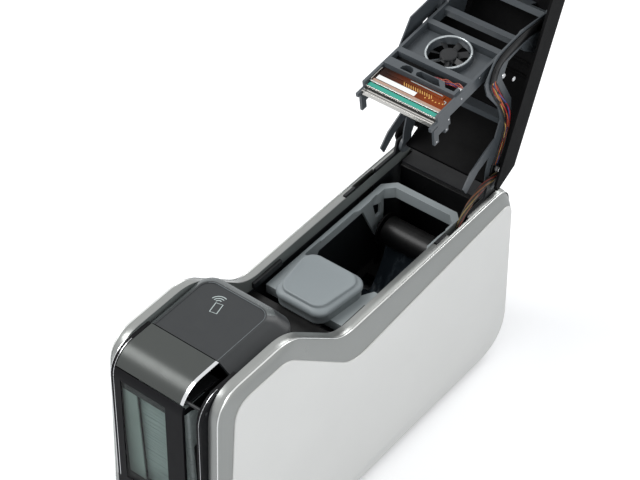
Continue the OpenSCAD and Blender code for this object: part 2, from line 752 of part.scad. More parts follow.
// Hooks that drop into the slots of the shelf, on a bar under the lid
module latch_hooks() {
    piece([0.3, 0.31, 0.33]) on_lid() {
        block(-42, 38, -64, -58, 222, 226);
        both_sides() block(35, 38, -64, -58, 176, 222 + eps);
        both_sides() block(35, 38, -67, -58, 171, 176 + eps);
        block(-34, 18, -64, -58, 226 - eps, hood_z - lid_wall - 7);
        both_sides() block(24, 28, -49.5, -46, 222, 230);
        block(-28, 28, -58 - eps, -46, 222, 226);
        block(-14, 0, -49, -46, 226 - eps, hood_z - lid_wall);
    }
}
module fan_rotor() {
    piece([0.15, 0.15, 0.16]) on_head() translate([0, 68, -4.5]) {
        cylinder(r = 8, h = 5);
        for (i = [0:6]) rotate(i * 360 / 7) rotate([28, 0, 0]) translate([0, -2.2, 1.6])
            cube([17.5, 4.4, 1]);
    }
}

/* ---------- print head ---------- */

module head_carrier() {
    piece([0.36, 0.38, 0.4]) on_head() difference() {
        union() {
            // Side walls, from the heater line back to the pivot
            both_sides() block(37.4, 40, -3, 126, -9, 3.5);
            both_sides() block(37.4, 40, -3, 14, -18, -8.9);
            // Prongs that straddle the platen shaft
            both_sides() block(37.4, 40, -9, -2.9, -26, -8);
            both_sides() block(37.4, 40, 6, 11, -23, -17.9);
            // Front hooks
            both_sides() block(37.4, 40, -13, -2.9, -7, -3);
            // Floor and bridges
            block(-37.5, 37.5, 4, 44, -6, -3);
            block(-37.5, 37.5, 24, 33, -3.1, 6);
            block(-37.5, 37.5, 44, 50, -6, 3.5);
            block(-37.5, 37.5, 88, 94, -6, 3.5);
            block(-37.5, 37.5, 112, 118, -6, 1);
            // Fan ring
            translate([0, 68, -6]) difference() {
                union() {
                    cylinder(r = 21.5, h = 8);
                    translate([-37.5, -19, 0]) cube([75, 38, 2]);
                }
                translate([0, 0, -1]) cylinder(r = 19, h = 12);
            }
            for (a = [45, 135]) translate([0, 68, -6]) rotate(a) translate([-20.5, -1.2, 0])
                cube([41, 2.4, 1.2]);
            // Pivot bosses and stubs
            both_sides() translate([37.4, 122, 0]) rotate([0, 90, 0]) {
                cylinder(r = 5, h = 3.4);
                cylinder(r = 2, h = 7.2);
            }
        }
    }
}
module head_board() {
    piece([0.45, 0.22, 0.1]) on_head() {
        block(-36, 36, 4.2, 23.9, -3, 0.6);
        block(-30, 30, 18, 22, 0.6 - eps, 1.6);
    }
}
module heater_strip() {
    piece([0.1, 0.6, 0.5]) on_head() block(-36, 36, -1.6, 2.8, -1, 0.4);
}
module head_sink() {
    piece([0.8, 0.8, 0.8]) on_head() {
        block(-37.4, 37.4, -2.5, 4, -7, -1);
        block(-37.4, 37.4, -8, -4.4, -4.5, -2.4);
        block(-37.4, 37.4, -8, -2.4, -7, -4.4);
        for (i = [0:5]) block(-34, 34, -2 + i * 3, -0.8 + i * 3, -13, -7 + eps);
        block(-37.4, 37.4, 3.9, 14.2, -8, -6);
    }
}

/* ---------- ribbon cartridge ---------- */

module cart_side_2d() {
    difference() {
        polygon([[-12, cart_top_z], [153, cart_top_z], [153, 150], [151, 130],
                 [141, 130], [132, 150], [122, 173], [58, 173], [48, 160], [37, 129],
                 [19, 129], [8, 148], [0, 172], [-12, 174]]);
        at_yz(takeup_y, spool_z) circle(3.05);
        at_yz(supply_y, spool_z) circle(3.05);
        // Lightening window in the rear bracket
        polygon([[137, 170], [141, 153], [148, 153], [149, 170]]);
    }
}
module cartridge_frame() {
    piece([0.62, 0.65, 0.66]) {
        both_sides() plate_x(cart_half_w - 3, cart_half_w) cart_side_2d();
        // Rear rim with its cut corners, the front cross member, and the flanges beside them
        linear_extrude_at(172, cart_top_z - 172, [[cart_half_w, 136], [cart_half_w, 153],
            [33.4, 164], [-33.4, 164], [-cart_half_w, 153], [-cart_half_w, 136], [-40, 136],
            [-38, 140], [-38, 149.6], [-30.6, 157], [30.6, 157], [38, 149.6], [38, 140],
            [40, 136]]);
        block(-cart_half_w, cart_half_w, -12, -4, 174, cart_top_z);
        both_sides() linear_extrude_at(cart_top_z - 3, 3, [[40.5, 60], [41.6, 60],
            [41.6, 138], [39, 138], [38, 128], [38, 112], [40.5, 108]]);
        linear_extrude_at(cart_top_z - 3, 3, [[-42, -12], [42, -12], [42, 38], [36, 38],
            [28, 24], [-28, 24], [-36, 38], [-42, 38]]);
    }
}
module linear_extrude_at(z, h, pts) {
    translate([0, 0, z]) linear_extrude(h) polygon(pts);
}
module handle_form(d, z0, z1) {
    hull() for (x = [-1, 1]) {
        translate([x * (19 - d), 22 - d, z0]) cylinder(r = 12, h = z1 - z0, $fn = 32);
        translate([x * (15 - d), -12 + d, z0]) cylinder(r = 12, h = z1 - z0, $fn = 32);
    }
}
module cartridge_handle() {
    piece([0.56, 0.6, 0.61]) {
        handle_form(0, cart_top_z, 192);
        hull() {
            translate([0, 0, 192 - eps]) handle_form(-1.2, 0, 4);
            translate([0, 0, 200]) handle_form(3, 0, 1.5);
        }
    }
}
module spool(y, roll_r) {
    rod_x(2.95, -cart_half_w, cart_half_w, y, spool_z);
    rod_x(6, -34, 34, y, spool_z);
    rod_x(roll_r, -film_half_w, film_half_w, y, spool_z);
    rod_x(roll_r + 2, -34, -32.5, y, spool_z);
    rod_x(roll_r + 2, 32.5, 34, y, spool_z);
}
module supply_spool() piece([0.08, 0.08, 0.09]) spool(supply_y, 14);
module takeup_spool() {
    piece([0.08, 0.08, 0.09]) {
        spool(takeup_y, 11);
        gear_x(takeup_teeth, gear_m, -40.4, -37, takeup_y, spool_z, 90 + 180 / takeup_teeth, 0);
    }
}
// Film path in the side view, loose between the two rolls
wrap_r = roller_r + 0.2;
film_path = concat([[35.2, 131.4], [46, 119.5], [62, 108], [82, 98], [96, 93.6]],
    [for (a = [100:-17:15]) [platen_y + wrap_r * cos(a), roller_z + wrap_r * sin(a)]],
    [[114.2, 85.6], [116.2, 85.8], [121.6, 88.6], [127, 96], [134.6, 107], [139.6, 117],
     [142, 126.2]]);
film_t = 0.4;
function film_normal(i) = left_of(unit(film_path[min(i + 1, len(film_path) - 1)]
    - film_path[max(i - 1, 0)]));
module ribbon_film() {
    piece([0.16, 0.19, 0.22]) plate_x(-film_half_w, film_half_w)
        polygon(concat(film_path, [for (i = [len(film_path) - 1:-1:0])
            film_path[i] + film_t * film_normal(i)]));
}

/* ---------- wiring ---------- */

function spline(p, n) = [for (i = [0:len(p) - 2]) let (
        a = p[max(i - 1, 0)], b = p[i], c = p[i + 1], d = p[min(i + 2, len(p) - 1)])
    for (k = [0:n - 1]) let (t = k / n)
        0.5 * (2 * b + (c - a) * t + (2 * a - 5 * b + 4 * c - d) * t * t
               + (3 * b - a - 3 * c + d) * t * t * t)];
// Round bundle along a route of [x, y, z]
module tube(route, r, sides) {
    pts = concat(spline(route, 3), [route[len(route) - 1]]);
    m = len(pts);
    rings = [for (i = [0:m - 1]) let (
            dir = unit(pts[min(i + 1, m - 1)] - pts[max(i - 1, 0)]),
            side = unit(cross(dir, [0.9, 0.1, 0.2])), up = cross(dir, side))
        for (k = [0:sides - 1]) let (a = 360 * k / sides)
            pts[i] + r * (cos(a) * side + sin(a) * up)];
    polyhedron(points = rings, faces = concat([[for (k = [0:sides - 1]) k]],
        [for (i = [0:m - 2]) for (k = [0:sides - 1]) [i * sides + k, (i + 1) * sides + k,
            (i + 1) * sides + (k + 1) % sides, i * sides + (k + 1) % sides]],
        [[for (k = [0:sides - 1]) m * sides - 1 - k]]));
}
// Flat bundle of the lid, laid along the outer face of the right arm: [y, z]
lid_wire_route = [[200, 222], [207, 234], [213, 248], [216, 262], [213, 278], [205, 294],
                  [196, 310], [191, 324], [198, 338], [214, 343], [240, 345], [262, 343]];
wire_band = 5;
lid_wire_pts = concat(spline(lid_wire_route, 3), [lid_wire_route[len(lid_wire_route) - 1]]);
function wire_normal(i) = left_of(unit(lid_wire_pts[min(i + 1, len(lid_wire_pts) - 1)]
    - lid_wire_pts[max(i - 1, 0)]));
module lid_harness() {
    piece([0.75, 0.2, 0.15]) {
        plate_x(46.3, 48.2) polygon(concat(
            [for (i = [0:len(lid_wire_pts) - 1]) lid_wire_pts[i] - wire_band * wire_normal(i)],
            [for (i = [len(lid_wire_pts) - 1:-1:0])
                lid_wire_pts[i] + wire_band * wire_normal(i)]));
    }
}
// Loop of the body, beside the hinge and down to the board
body_wire_route = [[50.5, 199, 214.8], [50.5, 188, 216], [50.5, 178, 215.8],
    [50.5, 168, 213.4], [50.5, 158, 209.2], [50.5, 149, 203], [50.8, 142, 194],
    [52.2, 138, 184], [55, 136.5, 172], [55, 136, 140], [55, 136, 80], [52, 136, 64],
    [46, 136, 57], [36, 137, 54], [22, 137, 49], [13, 136, 39]];
module body_harness() {
    piece([0.6, 0.5, 0.2]) {
        tube(body_wire_route, 2, 8);
        block(7, 19, 131, 141, 35.6, 39.4);
    }
}

/* ---------- the whole printer ---------- */

base_tray();
rubber_feet();
left_trim();
right_trim();
left_panel();
right_panel();
left_chassis();
right_chassis();
bay_liner();
rear_cover();
hood();
front_frame();
hopper_window();
card_magazine();
card_stack();
output_tray();
drive_belt();
drive_motor();
ribbon_motor();
main_board();
power_inlet();
data_ports();
body_harness();
case_screws();
pinch_roller();
hopper_flap();
flap_strip();
flap_pin();
card_weight();
pick_sleeve();
pick_shaft();
front_sleeve();
front_shaft();
mid_sleeve();
mid_shaft();
platen_sleeve();
platen_shaft();
cleaning_roller();
motor_pinion();
ribbon_gear();
power_button();
lid_shell();
lid_frame();
hinge_pins();
control_panel();
menu_key();
select_key();
latch_button();
latch_hooks();
fan_rotor();
lid_harness();
head_carrier();
head_board();
heater_strip();
head_sink();
cartridge_frame();
cartridge_handle();
supply_spool();
takeup_spool();
ribbon_film();
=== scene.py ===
# %% [markdown]
# A desktop card printer stands with its lid open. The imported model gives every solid, its place
# and the body it moves with. This notebook gives the printer its looks: it keeps the solids whose
# shape is right, and makes a finer piece where the real one has folds, seams, cards or wires.

# %% Load the frame
import bpy, bmesh, json, math
from mathutils import Matrix, Vector

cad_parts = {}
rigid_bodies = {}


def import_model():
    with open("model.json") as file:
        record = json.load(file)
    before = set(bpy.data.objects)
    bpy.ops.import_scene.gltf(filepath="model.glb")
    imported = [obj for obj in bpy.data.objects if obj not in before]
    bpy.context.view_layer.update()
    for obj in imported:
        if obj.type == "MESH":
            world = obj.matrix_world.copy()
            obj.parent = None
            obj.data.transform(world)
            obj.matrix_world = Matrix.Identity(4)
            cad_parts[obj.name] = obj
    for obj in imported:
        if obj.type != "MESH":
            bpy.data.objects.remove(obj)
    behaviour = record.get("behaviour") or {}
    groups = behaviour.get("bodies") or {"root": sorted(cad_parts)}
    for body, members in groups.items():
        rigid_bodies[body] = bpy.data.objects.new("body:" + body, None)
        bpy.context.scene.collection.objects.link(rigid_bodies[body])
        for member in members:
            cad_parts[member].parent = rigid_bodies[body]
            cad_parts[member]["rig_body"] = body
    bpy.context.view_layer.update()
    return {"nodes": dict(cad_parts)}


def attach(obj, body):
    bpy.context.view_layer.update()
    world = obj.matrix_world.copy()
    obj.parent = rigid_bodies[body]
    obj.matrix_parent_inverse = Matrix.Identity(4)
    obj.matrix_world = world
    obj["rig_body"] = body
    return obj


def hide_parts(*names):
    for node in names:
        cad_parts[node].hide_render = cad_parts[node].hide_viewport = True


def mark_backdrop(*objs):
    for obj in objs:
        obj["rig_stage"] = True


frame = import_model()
nodes = frame["nodes"]
body_of = {n: o["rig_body"] for n, o in nodes.items()}

# %% [markdown]
# The drawing of the printer is in millimetres, with the lid drawn closed and the print head drawn
# in its own tilt. Three matrices carry such drawings to where the open printer holds them, so that
# each piece can be written with the plain numbers of its own drawing. The lid turns about its
# hinge line, and the head is set down at its own place in the lid and tilted.

# %% Places
MM = 0.001
BOX_MIDDLE = 65.122
HINGE_Y, HINGE_Z, LID_OPEN = 192, 205, 114
HEAD_Y, HEAD_Z, HEAD_TILT = 123, 325, 6
BODY = Matrix.Scale(MM, 4) @ Matrix.Translation((0, -BOX_MIDDLE, 0))


def swing(y, z, degrees):
    there = Matrix.Translation((0, y, z))
    return there @ Matrix.Rotation(math.radians(degrees), 4, "X") @ there.inverted()


LID = BODY @ swing(HINGE_Y, HINGE_Z, -LID_OPEN)
HEAD = (BODY @ Matrix.Translation((0, HEAD_Y, HEAD_Z))
        @ Matrix.Rotation(math.radians(HEAD_TILT), 4, "X"))
lid_edge = LID @ Vector((0, -71.4, 250))
print("lid edge at", [round(c, 3) for c in lid_edge])

# %% [markdown]
# The camera looks down from the front right with a long lens, so the sides stay nearly parallel.
# It is set by its heading, its height angle, its small roll and the point that it looks at.

# %% Camera
def look_from(heading, height, roll, target, distance, focal_px):
    a, b, c = (math.radians(v) for v in (heading, height, roll))
    right = Vector((math.cos(a), math.sin(a), 0))
    up = Vector((-math.sin(a) * math.sin(b), math.cos(a) * math.sin(b), math.cos(b)))
    back = right.cross(up)
    right, up = (right * math.cos(c) + up * math.sin(c), up * math.cos(c) - right * math.sin(c))
    data = bpy.data.cameras.new("view")
    data.sensor_width, data.lens = 36, focal_px / 640 * 36
    data.clip_start, data.clip_end = 0.05, 50
    cam = bpy.data.objects.new("view", data)
    turn = Matrix((right, up, back)).transposed().to_4x4()
    cam.matrix_world = Matrix.Translation(target + back * distance) @ turn
    bpy.context.scene.collection.objects.link(cam)
    return cam


camera = look_from(heading=39.51, height=43.23, roll=-1.30, distance=1.763, focal_px=2073,
                   target=Vector((-0.0049, -0.04972, 0.2387)))
bpy.context.scene.camera = camera
bpy.context.scene.view_settings.view_transform = "Standard"
print("camera at", [round(c, 2) for c in camera.location])

# %% [markdown]
# A product is shown in a soft white studio: a wide lamp over the left front gives the long
# highlights on the rims, a weaker one fills the right side, and the white room does the rest.
# Camera, glossy and transmission rays see the room as plain white.

# %% Studio
def sRGB(r, g, b):
    return tuple(((c / 255 + 0.055) / 1.055) ** 2.4 if c > 10 else c / 255 / 12.92
                 for c in (r, g, b)) + (1.0,)


def white_room(strength):
    world = bpy.data.worlds.new("studio")
    bpy.context.scene.world = world
    world.use_nodes = True
    tree = world.node_tree
    link = tree.links.new
    tree.nodes.clear()
    path, dim, white, mix, out = (tree.nodes.new("ShaderNode" + kind) for kind in (
        "LightPath", "Background", "Background", "MixShader", "OutputWorld"))
    dim.inputs["Color"].default_value = (0.93, 0.96, 1.0, 1)
    dim.inputs["Strength"].default_value = strength
    white.inputs["Color"].default_value = (1, 1, 1, 1)
    seen = path.outputs["Is Camera Ray"]
    for ray in ("Is Glossy Ray", "Is Transmission Ray"):
        either = tree.nodes.new("ShaderNodeMath")
        either.operation = "MAXIMUM"
        link(seen, either.inputs[0])
        link(path.outputs[ray], either.inputs[1])
        seen = either.outputs[0]
    for socket, value in zip(mix.inputs, (seen, dim.outputs[0], white.outputs[0])):
        link(value, socket)
    link(mix.outputs[0], out.inputs["Surface"])


def softbox(name, place, aim, size, watts):
    lamp = bpy.data.lights.new(name, "AREA")
    lamp.shape, lamp.size, lamp.energy = "SQUARE", size, watts
    obj = bpy.data.objects.new(name, lamp)
    obj.location = place
    obj.rotation_euler = (Vector(aim) - Vector(place)).to_track_quat("-Z", "Y").to_euler()
    bpy.context.scene.collection.objects.link(obj)


white_room(0.62)
softbox("key", (-1.1, -0.7, 1.9), (0, 0, 0.2), size=1.1, watts=26)
softbox("fill", (1.9, -0.9, 0.9), (0, 0, 0.2), size=1.3, watts=9)
softbox("back", (0.3, 1.7, 1.5), (0, 0.1, 0.3), size=0.9, watts=13)
print("studio lit")

# %% [markdown]
# Fine finishes share three effects, each a shader group. Grain gives the small pits of moulded
# plastic or paint. Tone gives the slow change of shade that keeps a wide face from looking flat.
# Dust lies on what faces up. The groups put out values only, and each material mixes its own.
# First come small helpers, which link a socket or set it as a plain number.

# %% Shader helpers
def shader_group(name, inputs, outputs):
    g = bpy.data.node_groups.new(name, "ShaderNodeTree")
    for label, kind, value in inputs:
        s = g.interface.new_socket(label, in_out="INPUT", socket_type=kind)
        if value is not None:
            s.default_value = value
    for label in outputs:
        g.interface.new_socket(label, in_out="OUTPUT", socket_type="NodeSocketFloat")
    return g, g.nodes.new("NodeGroupInput"), g.nodes.new("NodeGroupOutput")


def feed(tree, value, socket):
    if hasattr(value, "is_linked"):
        tree.links.new(value, socket)
    else:
        socket.default_value = value


def math_node(tree, operation, a, b, clamp=False):
    m = tree.nodes.new("ShaderNodeMath")
    m.operation, m.use_clamp = operation, clamp
    feed(tree, a, m.inputs[0])
    feed(tree, b, m.inputs[1])
    return m.outputs[0]


def mix_colour(tree, a, b, factor):
    m = tree.nodes.new("ShaderNodeMix")
    m.data_type = "RGBA"
    for label, value in (("A", a), ("B", b), ("Factor", factor)):
        feed(tree, value, m.inputs[label])
    return m.outputs["Result"]


def noise(tree, vector, scale, detail=3.0, rough=0.55):
    t = tree.nodes.new("ShaderNodeTexNoise")
    for label, value in (("Vector", vector), ("Scale", scale), ("Detail", detail),
                         ("Roughness", rough)):
        feed(tree, value, t.inputs[label])
    return t.outputs[0]


print("shader helpers ready")

# %% [markdown]
# Grain is a fine noise with its peaks sharpened. Tone holds two noises: broad patches for the
# shade and smaller ones for the smear of the gloss. Dust is the upward part of the normal.

# %% Shader groups
VECTOR, FLOAT = "NodeSocketVector", "NodeSocketFloat"
GRAIN, gi, go = shader_group("grain", [("Vector", VECTOR, None),
                                       ("Pits per metre", FLOAT, 1500.0)], ["Height"])
fine = noise(GRAIN, gi.outputs["Vector"], gi.outputs["Pits per metre"], 2.0)
GRAIN.links.new(math_node(GRAIN, "POWER", fine, 1.4), go.inputs["Height"])
TONE, gi, go = shader_group("tone", [("Vector", VECTOR, None),
                                     ("Patches per metre", FLOAT, 12.0)], ["Shade", "Smear"])
TONE.links.new(noise(TONE, gi.outputs["Vector"], gi.outputs["Patches per metre"], 4.0),
               go.inputs["Shade"])
smear = noise(TONE, gi.outputs["Vector"],
              math_node(TONE, "MULTIPLY", gi.outputs["Patches per metre"], 6.0), 5.0, 0.7)
TONE.links.new(smear, go.inputs["Smear"])
DUST, gi, go = shader_group("dust", [("Vector", VECTOR, None), ("Amount", FLOAT, 0.1)], ["Mask"])
facing = DUST.nodes.new("ShaderNodeSeparateXYZ")
DUST.links.new(DUST.nodes.new("ShaderNodeNewGeometry").outputs["Normal"], facing.inputs[0])
upward = math_node(DUST, "MULTIPLY", facing.outputs["Z"], gi.outputs["Amount"], True)
speckle = noise(DUST, gi.outputs["Vector"], 90, 6.0, 0.7)
DUST.links.new(math_node(DUST, "MULTIPLY", upward, speckle), go.inputs["Mask"])
print("groups:", GRAIN.name, TONE.name, DUST.name)

# %% [markdown]
# One recipe makes all plain finishes: a base colour that drifts a little with the tone, a
# roughness that drifts with the smear, a bump from the grain, and a touch of dust. Stretch pulls
# the grain along one axis, which turns pits into brushing or drawing lines on metal.

# %% Finish recipe
DUST_RGB = (0.45, 0.44, 0.42, 1)


def finish(name, rgb, rough, metal=0.0, pits=1600, depth=0.05, tone=0.1, dust=0.0,
           stretch=(1, 1, 1), patches=14, **sockets):
    mat = bpy.data.materials.new(name)
    mat.use_nodes = True
    t = mat.node_tree
    bsdf = t.nodes["Principled BSDF"]
    coords = t.nodes.new("ShaderNodeTexCoord").outputs["Object"]
    if stretch != (1, 1, 1):
        m = t.nodes.new("ShaderNodeMapping")
        m.inputs["Scale"].default_value = stretch
        t.links.new(coords, m.inputs["Vector"])
        coords = m.outputs[0]
    groups = []
    for g in (GRAIN, TONE, DUST):
        node = t.nodes.new("ShaderNodeGroup")
        node.node_tree = g
        t.links.new(coords, node.inputs["Vector"])
        groups.append(node)
    grain, shade, film = groups
    grain.inputs["Pits per metre"].default_value = pits
    shade.inputs["Patches per metre"].default_value = patches
    film.inputs["Amount"].default_value = dust
    base = sRGB(*rgb)[:3]
    low, high = (tuple(min(1, c * k) for c in base) + (1,) for k in (1 - tone, 1 + tone))
    drift = mix_colour(t, low, high, shade.outputs["Shade"])
    t.links.new(mix_colour(t, drift, DUST_RGB, film.outputs["Mask"]), bsdf.inputs["Base Color"])
    r = t.nodes.new("ShaderNodeMapRange")
    r.inputs["To Min"].default_value = max(0.02, rough - 0.07)
    r.inputs["To Max"].default_value = min(1.0, rough + 0.07)
    t.links.new(shade.outputs["Smear"], r.inputs["Value"])
    t.links.new(r.outputs[0], bsdf.inputs["Roughness"])
    bump = t.nodes.new("ShaderNodeBump")
    bump.inputs["Strength"].default_value = 0.6
    bump.inputs["Distance"].default_value = depth * MM
    t.links.new(grain.outputs["Height"], bump.inputs["Height"])
    t.links.new(bump.outputs[0], bsdf.inputs["Normal"])
    bsdf.inputs["Metallic"].default_value = metal
    for label, value in sockets.items():
        bsdf.inputs[label.replace("_", " ")].default_value = value
    return mat


print("finish recipe ready")

# %% [markdown]
# Each material slot has one finish: a name, a colour, its roughness and how much of a metal it is,
# then the number of pits per metre, their depth in millimetres, the drift of tone and the dust.
# Blacks keep a low specular level, because the white room would grey them.

# %% Finishes
FINISH = {
    "case_silver": finish("satin_silver_paint", (152, 154, 152), 0.3, 0.8, 5200, 0.002, 0.04),
    "panel_white": finish("pearl_panel_paint", (219, 219, 216), 0.42, 0.12, 4200, 0.02, 0.03,
                          Coat_Weight=0.25, Coat_Roughness=0.35),
    "case_dark": finish("dark_case_plastic", (30, 31, 33), 0.42, 0, 1900, 0.06, 0.12, 0.03,
                        Specular_IOR_Level=0.3),
    "hood_dark": finish("charcoal_hood_plastic", (37, 40, 42), 0.36, 0, 2600, 0.05, 0.1, 0.02,
                        Specular_IOR_Level=0.42),
    "flap_dark": finish("graphite_flap_paint", (66, 69, 67), 0.34, 0.36, 3800, 0.012, 0.06),
    "inner_black": finish("black_moulding", (11, 11, 12), 0.3, 0, 1500, 0.05, 0.25, 0.05,
                          Specular_IOR_Level=0.22),
    "lid_black": finish("flat_black_lid", (12, 12, 13), 0.5, 0, 1900, 0.05, 0.2, 0.02,
                        Specular_IOR_Level=0.05),
    "frame_grey": finish("blue_grey_moulding", (72, 77, 81), 0.36, 0, 1700, 0.04, 0.12, 0.04,
                         Specular_IOR_Level=0.45),
    "chassis_dark": finish("dark_chassis_moulding", (25, 27, 29), 0.36, 0, 1500, 0.05, 0.15, 0.05,
                           Specular_IOR_Level=0.3),
    "smoke_window": finish("smoked_window", (208, 216, 214), 0.04, 0, 900, 0.001, 0.03,
                           Transmission_Weight=1.0, IOR=1.14),
    "card_white": finish("blank_card_plastic", (176, 186, 184), 0.32, 0, 2400, 0.01, 0.03),
    "rubber_black": finish("roller_rubber", (26, 26, 27), 0.72, 0, 2200, 0.12, 0.2, 0.06),
    "steel_bright": finish("ground_steel", (196, 197, 199), 0.24, 1.0, 900, 0.02, 0.08,
                           stretch=(0.08, 1, 1)),
    "alloy": finish("drawn_alloy", (198, 196, 192), 0.24, 1.0, 500, 0.003, 0.08,
                    stretch=(0.03, 1, 1)),
    "chrome_trim": finish("bright_trim", (222, 224, 226), 0.14, 1.0, 800, 0.004, 0.03),
    "brass_gear": finish("brass_pinion", (196, 166, 92), 0.3, 1.0, 1500, 0.02, 0.1),
    "gear_cream": finish("cream_gear_plastic", (216, 210, 188), 0.42, 0, 1400, 0.03, 0.06),
    "board_green": finish("coated_board", (34, 92, 56), 0.35, 0, 700, 0.05, 0.2, patches=60),
    "ceramic_teal": finish("teal_heater_glaze", (34, 152, 132), 0.2, 0, 1200, 0.005, 0.08,
                           stretch=(0.1, 1, 1), Coat_Weight=0.2, Coat_Roughness=0.1),
    "cart_grey": finish("pale_cartridge_moulding", (150, 157, 158), 0.44, 0, 2300, 0.04, 0.05),
    "handle_grey": finish("handle_pad_moulding", (134, 141, 143), 0.47, 0, 2300, 0.05, 0.04),
    "wires": finish("wire_cover", (150, 60, 40), 0.35, 0, 900, 0.02, 0.1),
    "panel_black": finish("display_gloss", (14, 17, 20), 0.08, 0, 600, 0.003, 0.1,
                          Coat_Weight=1.0, Coat_Roughness=0.03),
    "roller_blue": finish("tacky_roller_cover", (98, 128, 152), 0.5, 0, 2600, 0.05, 0.1),
    "motor_steel": finish("plated_motor_can", (150, 151, 155), 0.36, 1.0, 1500, 0.04, 0.08),
}
print(len(FINISH), "finishes")

# %% [markdown]
# The ribbon film is thin, dark and wrinkled where the rolls pull it. The wrinkles are long soft
# folds, so its bump is a stretched noise with sharp ridges, and its colour is painted paler along
# the ridges, a painted highlight.

# %% Ribbon film finish
def object_coords(mat):
    return next(n for n in mat.node_tree.nodes if n.type == "TEX_COORD").outputs["Object"]


def base_colour(mat):
    """The socket that gives the base colour now, and the input that takes it."""
    taker = mat.node_tree.nodes["Principled BSDF"].inputs["Base Color"]
    return taker.links[0].from_socket, taker


def wrinkled_film():
    mat = finish("wrinkled_ribbon_film", (47, 55, 62), 0.2, 0.0, 500, 0.02, 0.15, patches=30)
    t = mat.node_tree
    m = t.nodes.new("ShaderNodeMapping")
    m.inputs["Scale"].default_value = (1.6, 0.5, 0.8)
    m.inputs["Rotation"].default_value = (0, 0, 0.5)
    t.links.new(object_coords(mat), m.inputs["Vector"])
    middle = math_node(t, "SUBTRACT", noise(t, m.outputs[0], 38, 3.0), 0.5)
    away = math_node(t, "MULTIPLY", math_node(t, "ABSOLUTE", middle, 0), 4.0, True)
    folds = math_node(t, "POWER", math_node(t, "SUBTRACT", 1.0, away), 9.0)
    bump = next(n for n in t.nodes if n.type == "BUMP")
    wide = t.nodes.new("ShaderNodeBump")
    wide.inputs["Distance"].default_value = 0.5 * MM
    wide.inputs["Strength"].default_value = 0.7
    t.links.new(folds, wide.inputs["Height"])
    t.links.new(wide.outputs[0], bump.inputs["Normal"])
    colour, taker = base_colour(mat)
    # Paler colour along the fold ridges: painted highlight.
    fold_highlight = math_node(t, "MULTIPLY", folds, 0.45)
    t.links.new(mix_colour(t, colour, sRGB(104, 116, 124), fold_highlight), taker)
    return mat


FINISH["film_dark"] = wrinkled_film()
print("film finish ready")

# %% [markdown]
# The circuit on the print head is a brown film over copper. Its colour is darkened to nearly black
# towards its left, a painted shade, and stays a warm brown on its right, so it is mixed by the
# place across the printer.

# %% Circuit film finish
def flex_film():
    mat = finish("brown_flex_film", (132, 58, 20), 0.2, 0, 500, 0.008, 0.3, patches=70,
                 Specular_IOR_Level=0.12)
    t = mat.node_tree
    apart = t.nodes.new("ShaderNodeSeparateXYZ")
    t.links.new(object_coords(mat), apart.inputs[0])
    across = t.nodes.new("ShaderNodeMapRange")
    across.inputs["From Min"].default_value = -30 * MM
    across.inputs["From Max"].default_value = 26 * MM
    t.links.new(apart.outputs["X"], across.inputs["Value"])
    colour, taker = base_colour(mat)
    # Nearly black on the left to brown on the right: painted shade across the film.
    t.links.new(mix_colour(t, sRGB(38, 20, 14), colour, across.outputs[0]), taker)
    return mat


FINISH["board_brown"] = flex_film()
print("circuit finish ready")

# %% [markdown]
# Pieces are drawn in mesh code from a few shapes that the printer's makers use: blocks, plates
# cut from an outline, turned rods and posts, and lofted skins. Each adds to one mesh. A skin joins
# rings of points, and a plate or a rod is a skin of two to four rings.

# %% Drawing shapes
def ring_skin(bm, rings, cap=True):
    rows = [[bm.verts.new(p) for p in ring] for ring in rings]
    n = len(rows[0])
    for a, b in zip(rows, rows[1:]):
        for i in range(n):
            bm.faces.new((a[i], a[(i + 1) % n], b[(i + 1) % n], b[i]))
    if cap:
        bm.faces.new(rows[0][::-1])
        bm.faces.new(rows[-1])


def block(bm, x0, x1, y0, y1, z0, z1):
    ring_skin(bm, [[(x0, y0, z), (x1, y0, z), (x1, y1, z), (x0, y1, z)] for z in (z0, z1)])


def plate(bm, outline, x0, x1):
    ring_skin(bm, [[(x, y, z) for y, z in outline] for x in (x0, x1)])


def slab(bm, outline, z0, z1):
    ring_skin(bm, [[(x, y, z) for x, y in outline] for z in (z0, z1)])


def arc(cx, cy, r, angles):
    """Points on a circle at the given angles in degrees."""
    return [(cx + r * math.cos(math.radians(a)), cy + r * math.sin(math.radians(a)))
            for a in angles]


def circle(r, cx=0, cy=0, n=32):
    return [(cx + r * math.cos(2 * math.pi * i / n), cy + r * math.sin(2 * math.pi * i / n))
            for i in range(n)]


def rod(bm, r, x0, x1, y, z, n=32, lip=0.3):
    rings = [(x0, r - lip), (x0 + lip, r), (x1 - lip, r), (x1, r - lip)]
    ring_skin(bm, [[(x, py, pz) for py, pz in circle(q, y, z, n)] for x, q in rings])


def post(bm, r, x, y, z0, z1, n=32, lip=0.3):
    rings = [(z0, r), (z1 - lip, r), (z1, r - lip)]
    ring_skin(bm, [[(px, py, z) for px, py in circle(q, x, y, n)] for z, q in rings])


print("shapes ready")

# %% [markdown]
# A tube follows a smooth route through a few points. The route is a Catmull-Rom curve, which
# passes through each of its points. Its section is set by a direction that no wire follows.

# %% Routes and tubes
ASIDE = Vector((0.9, 0.1, 0.2))


def smooth_route(points, steps):
    out = []
    for i in range(len(points) - 1):
        a, b, c, d = (Vector(points[max(0, min(len(points) - 1, j))])
                      for j in (i - 1, i, i + 1, i + 2))
        for k in range(steps):
            t = k / steps
            out.append(0.5 * (2 * b + (c - a) * t + (2 * a - 5 * b + 4 * c - d) * t * t
                              + (3 * b - a - 3 * c + d) * t ** 3))
    return out + [Vector(points[-1])]


def heading(points, i):
    """The direction of a route at its point i."""
    return (points[min(i + 1, len(points) - 1)] - points[max(i - 1, 0)]).normalized()


def square_to(d):
    """The direction at right angles to d, as seen from the side of the printer."""
    return Vector((0, -d.z, d.y))


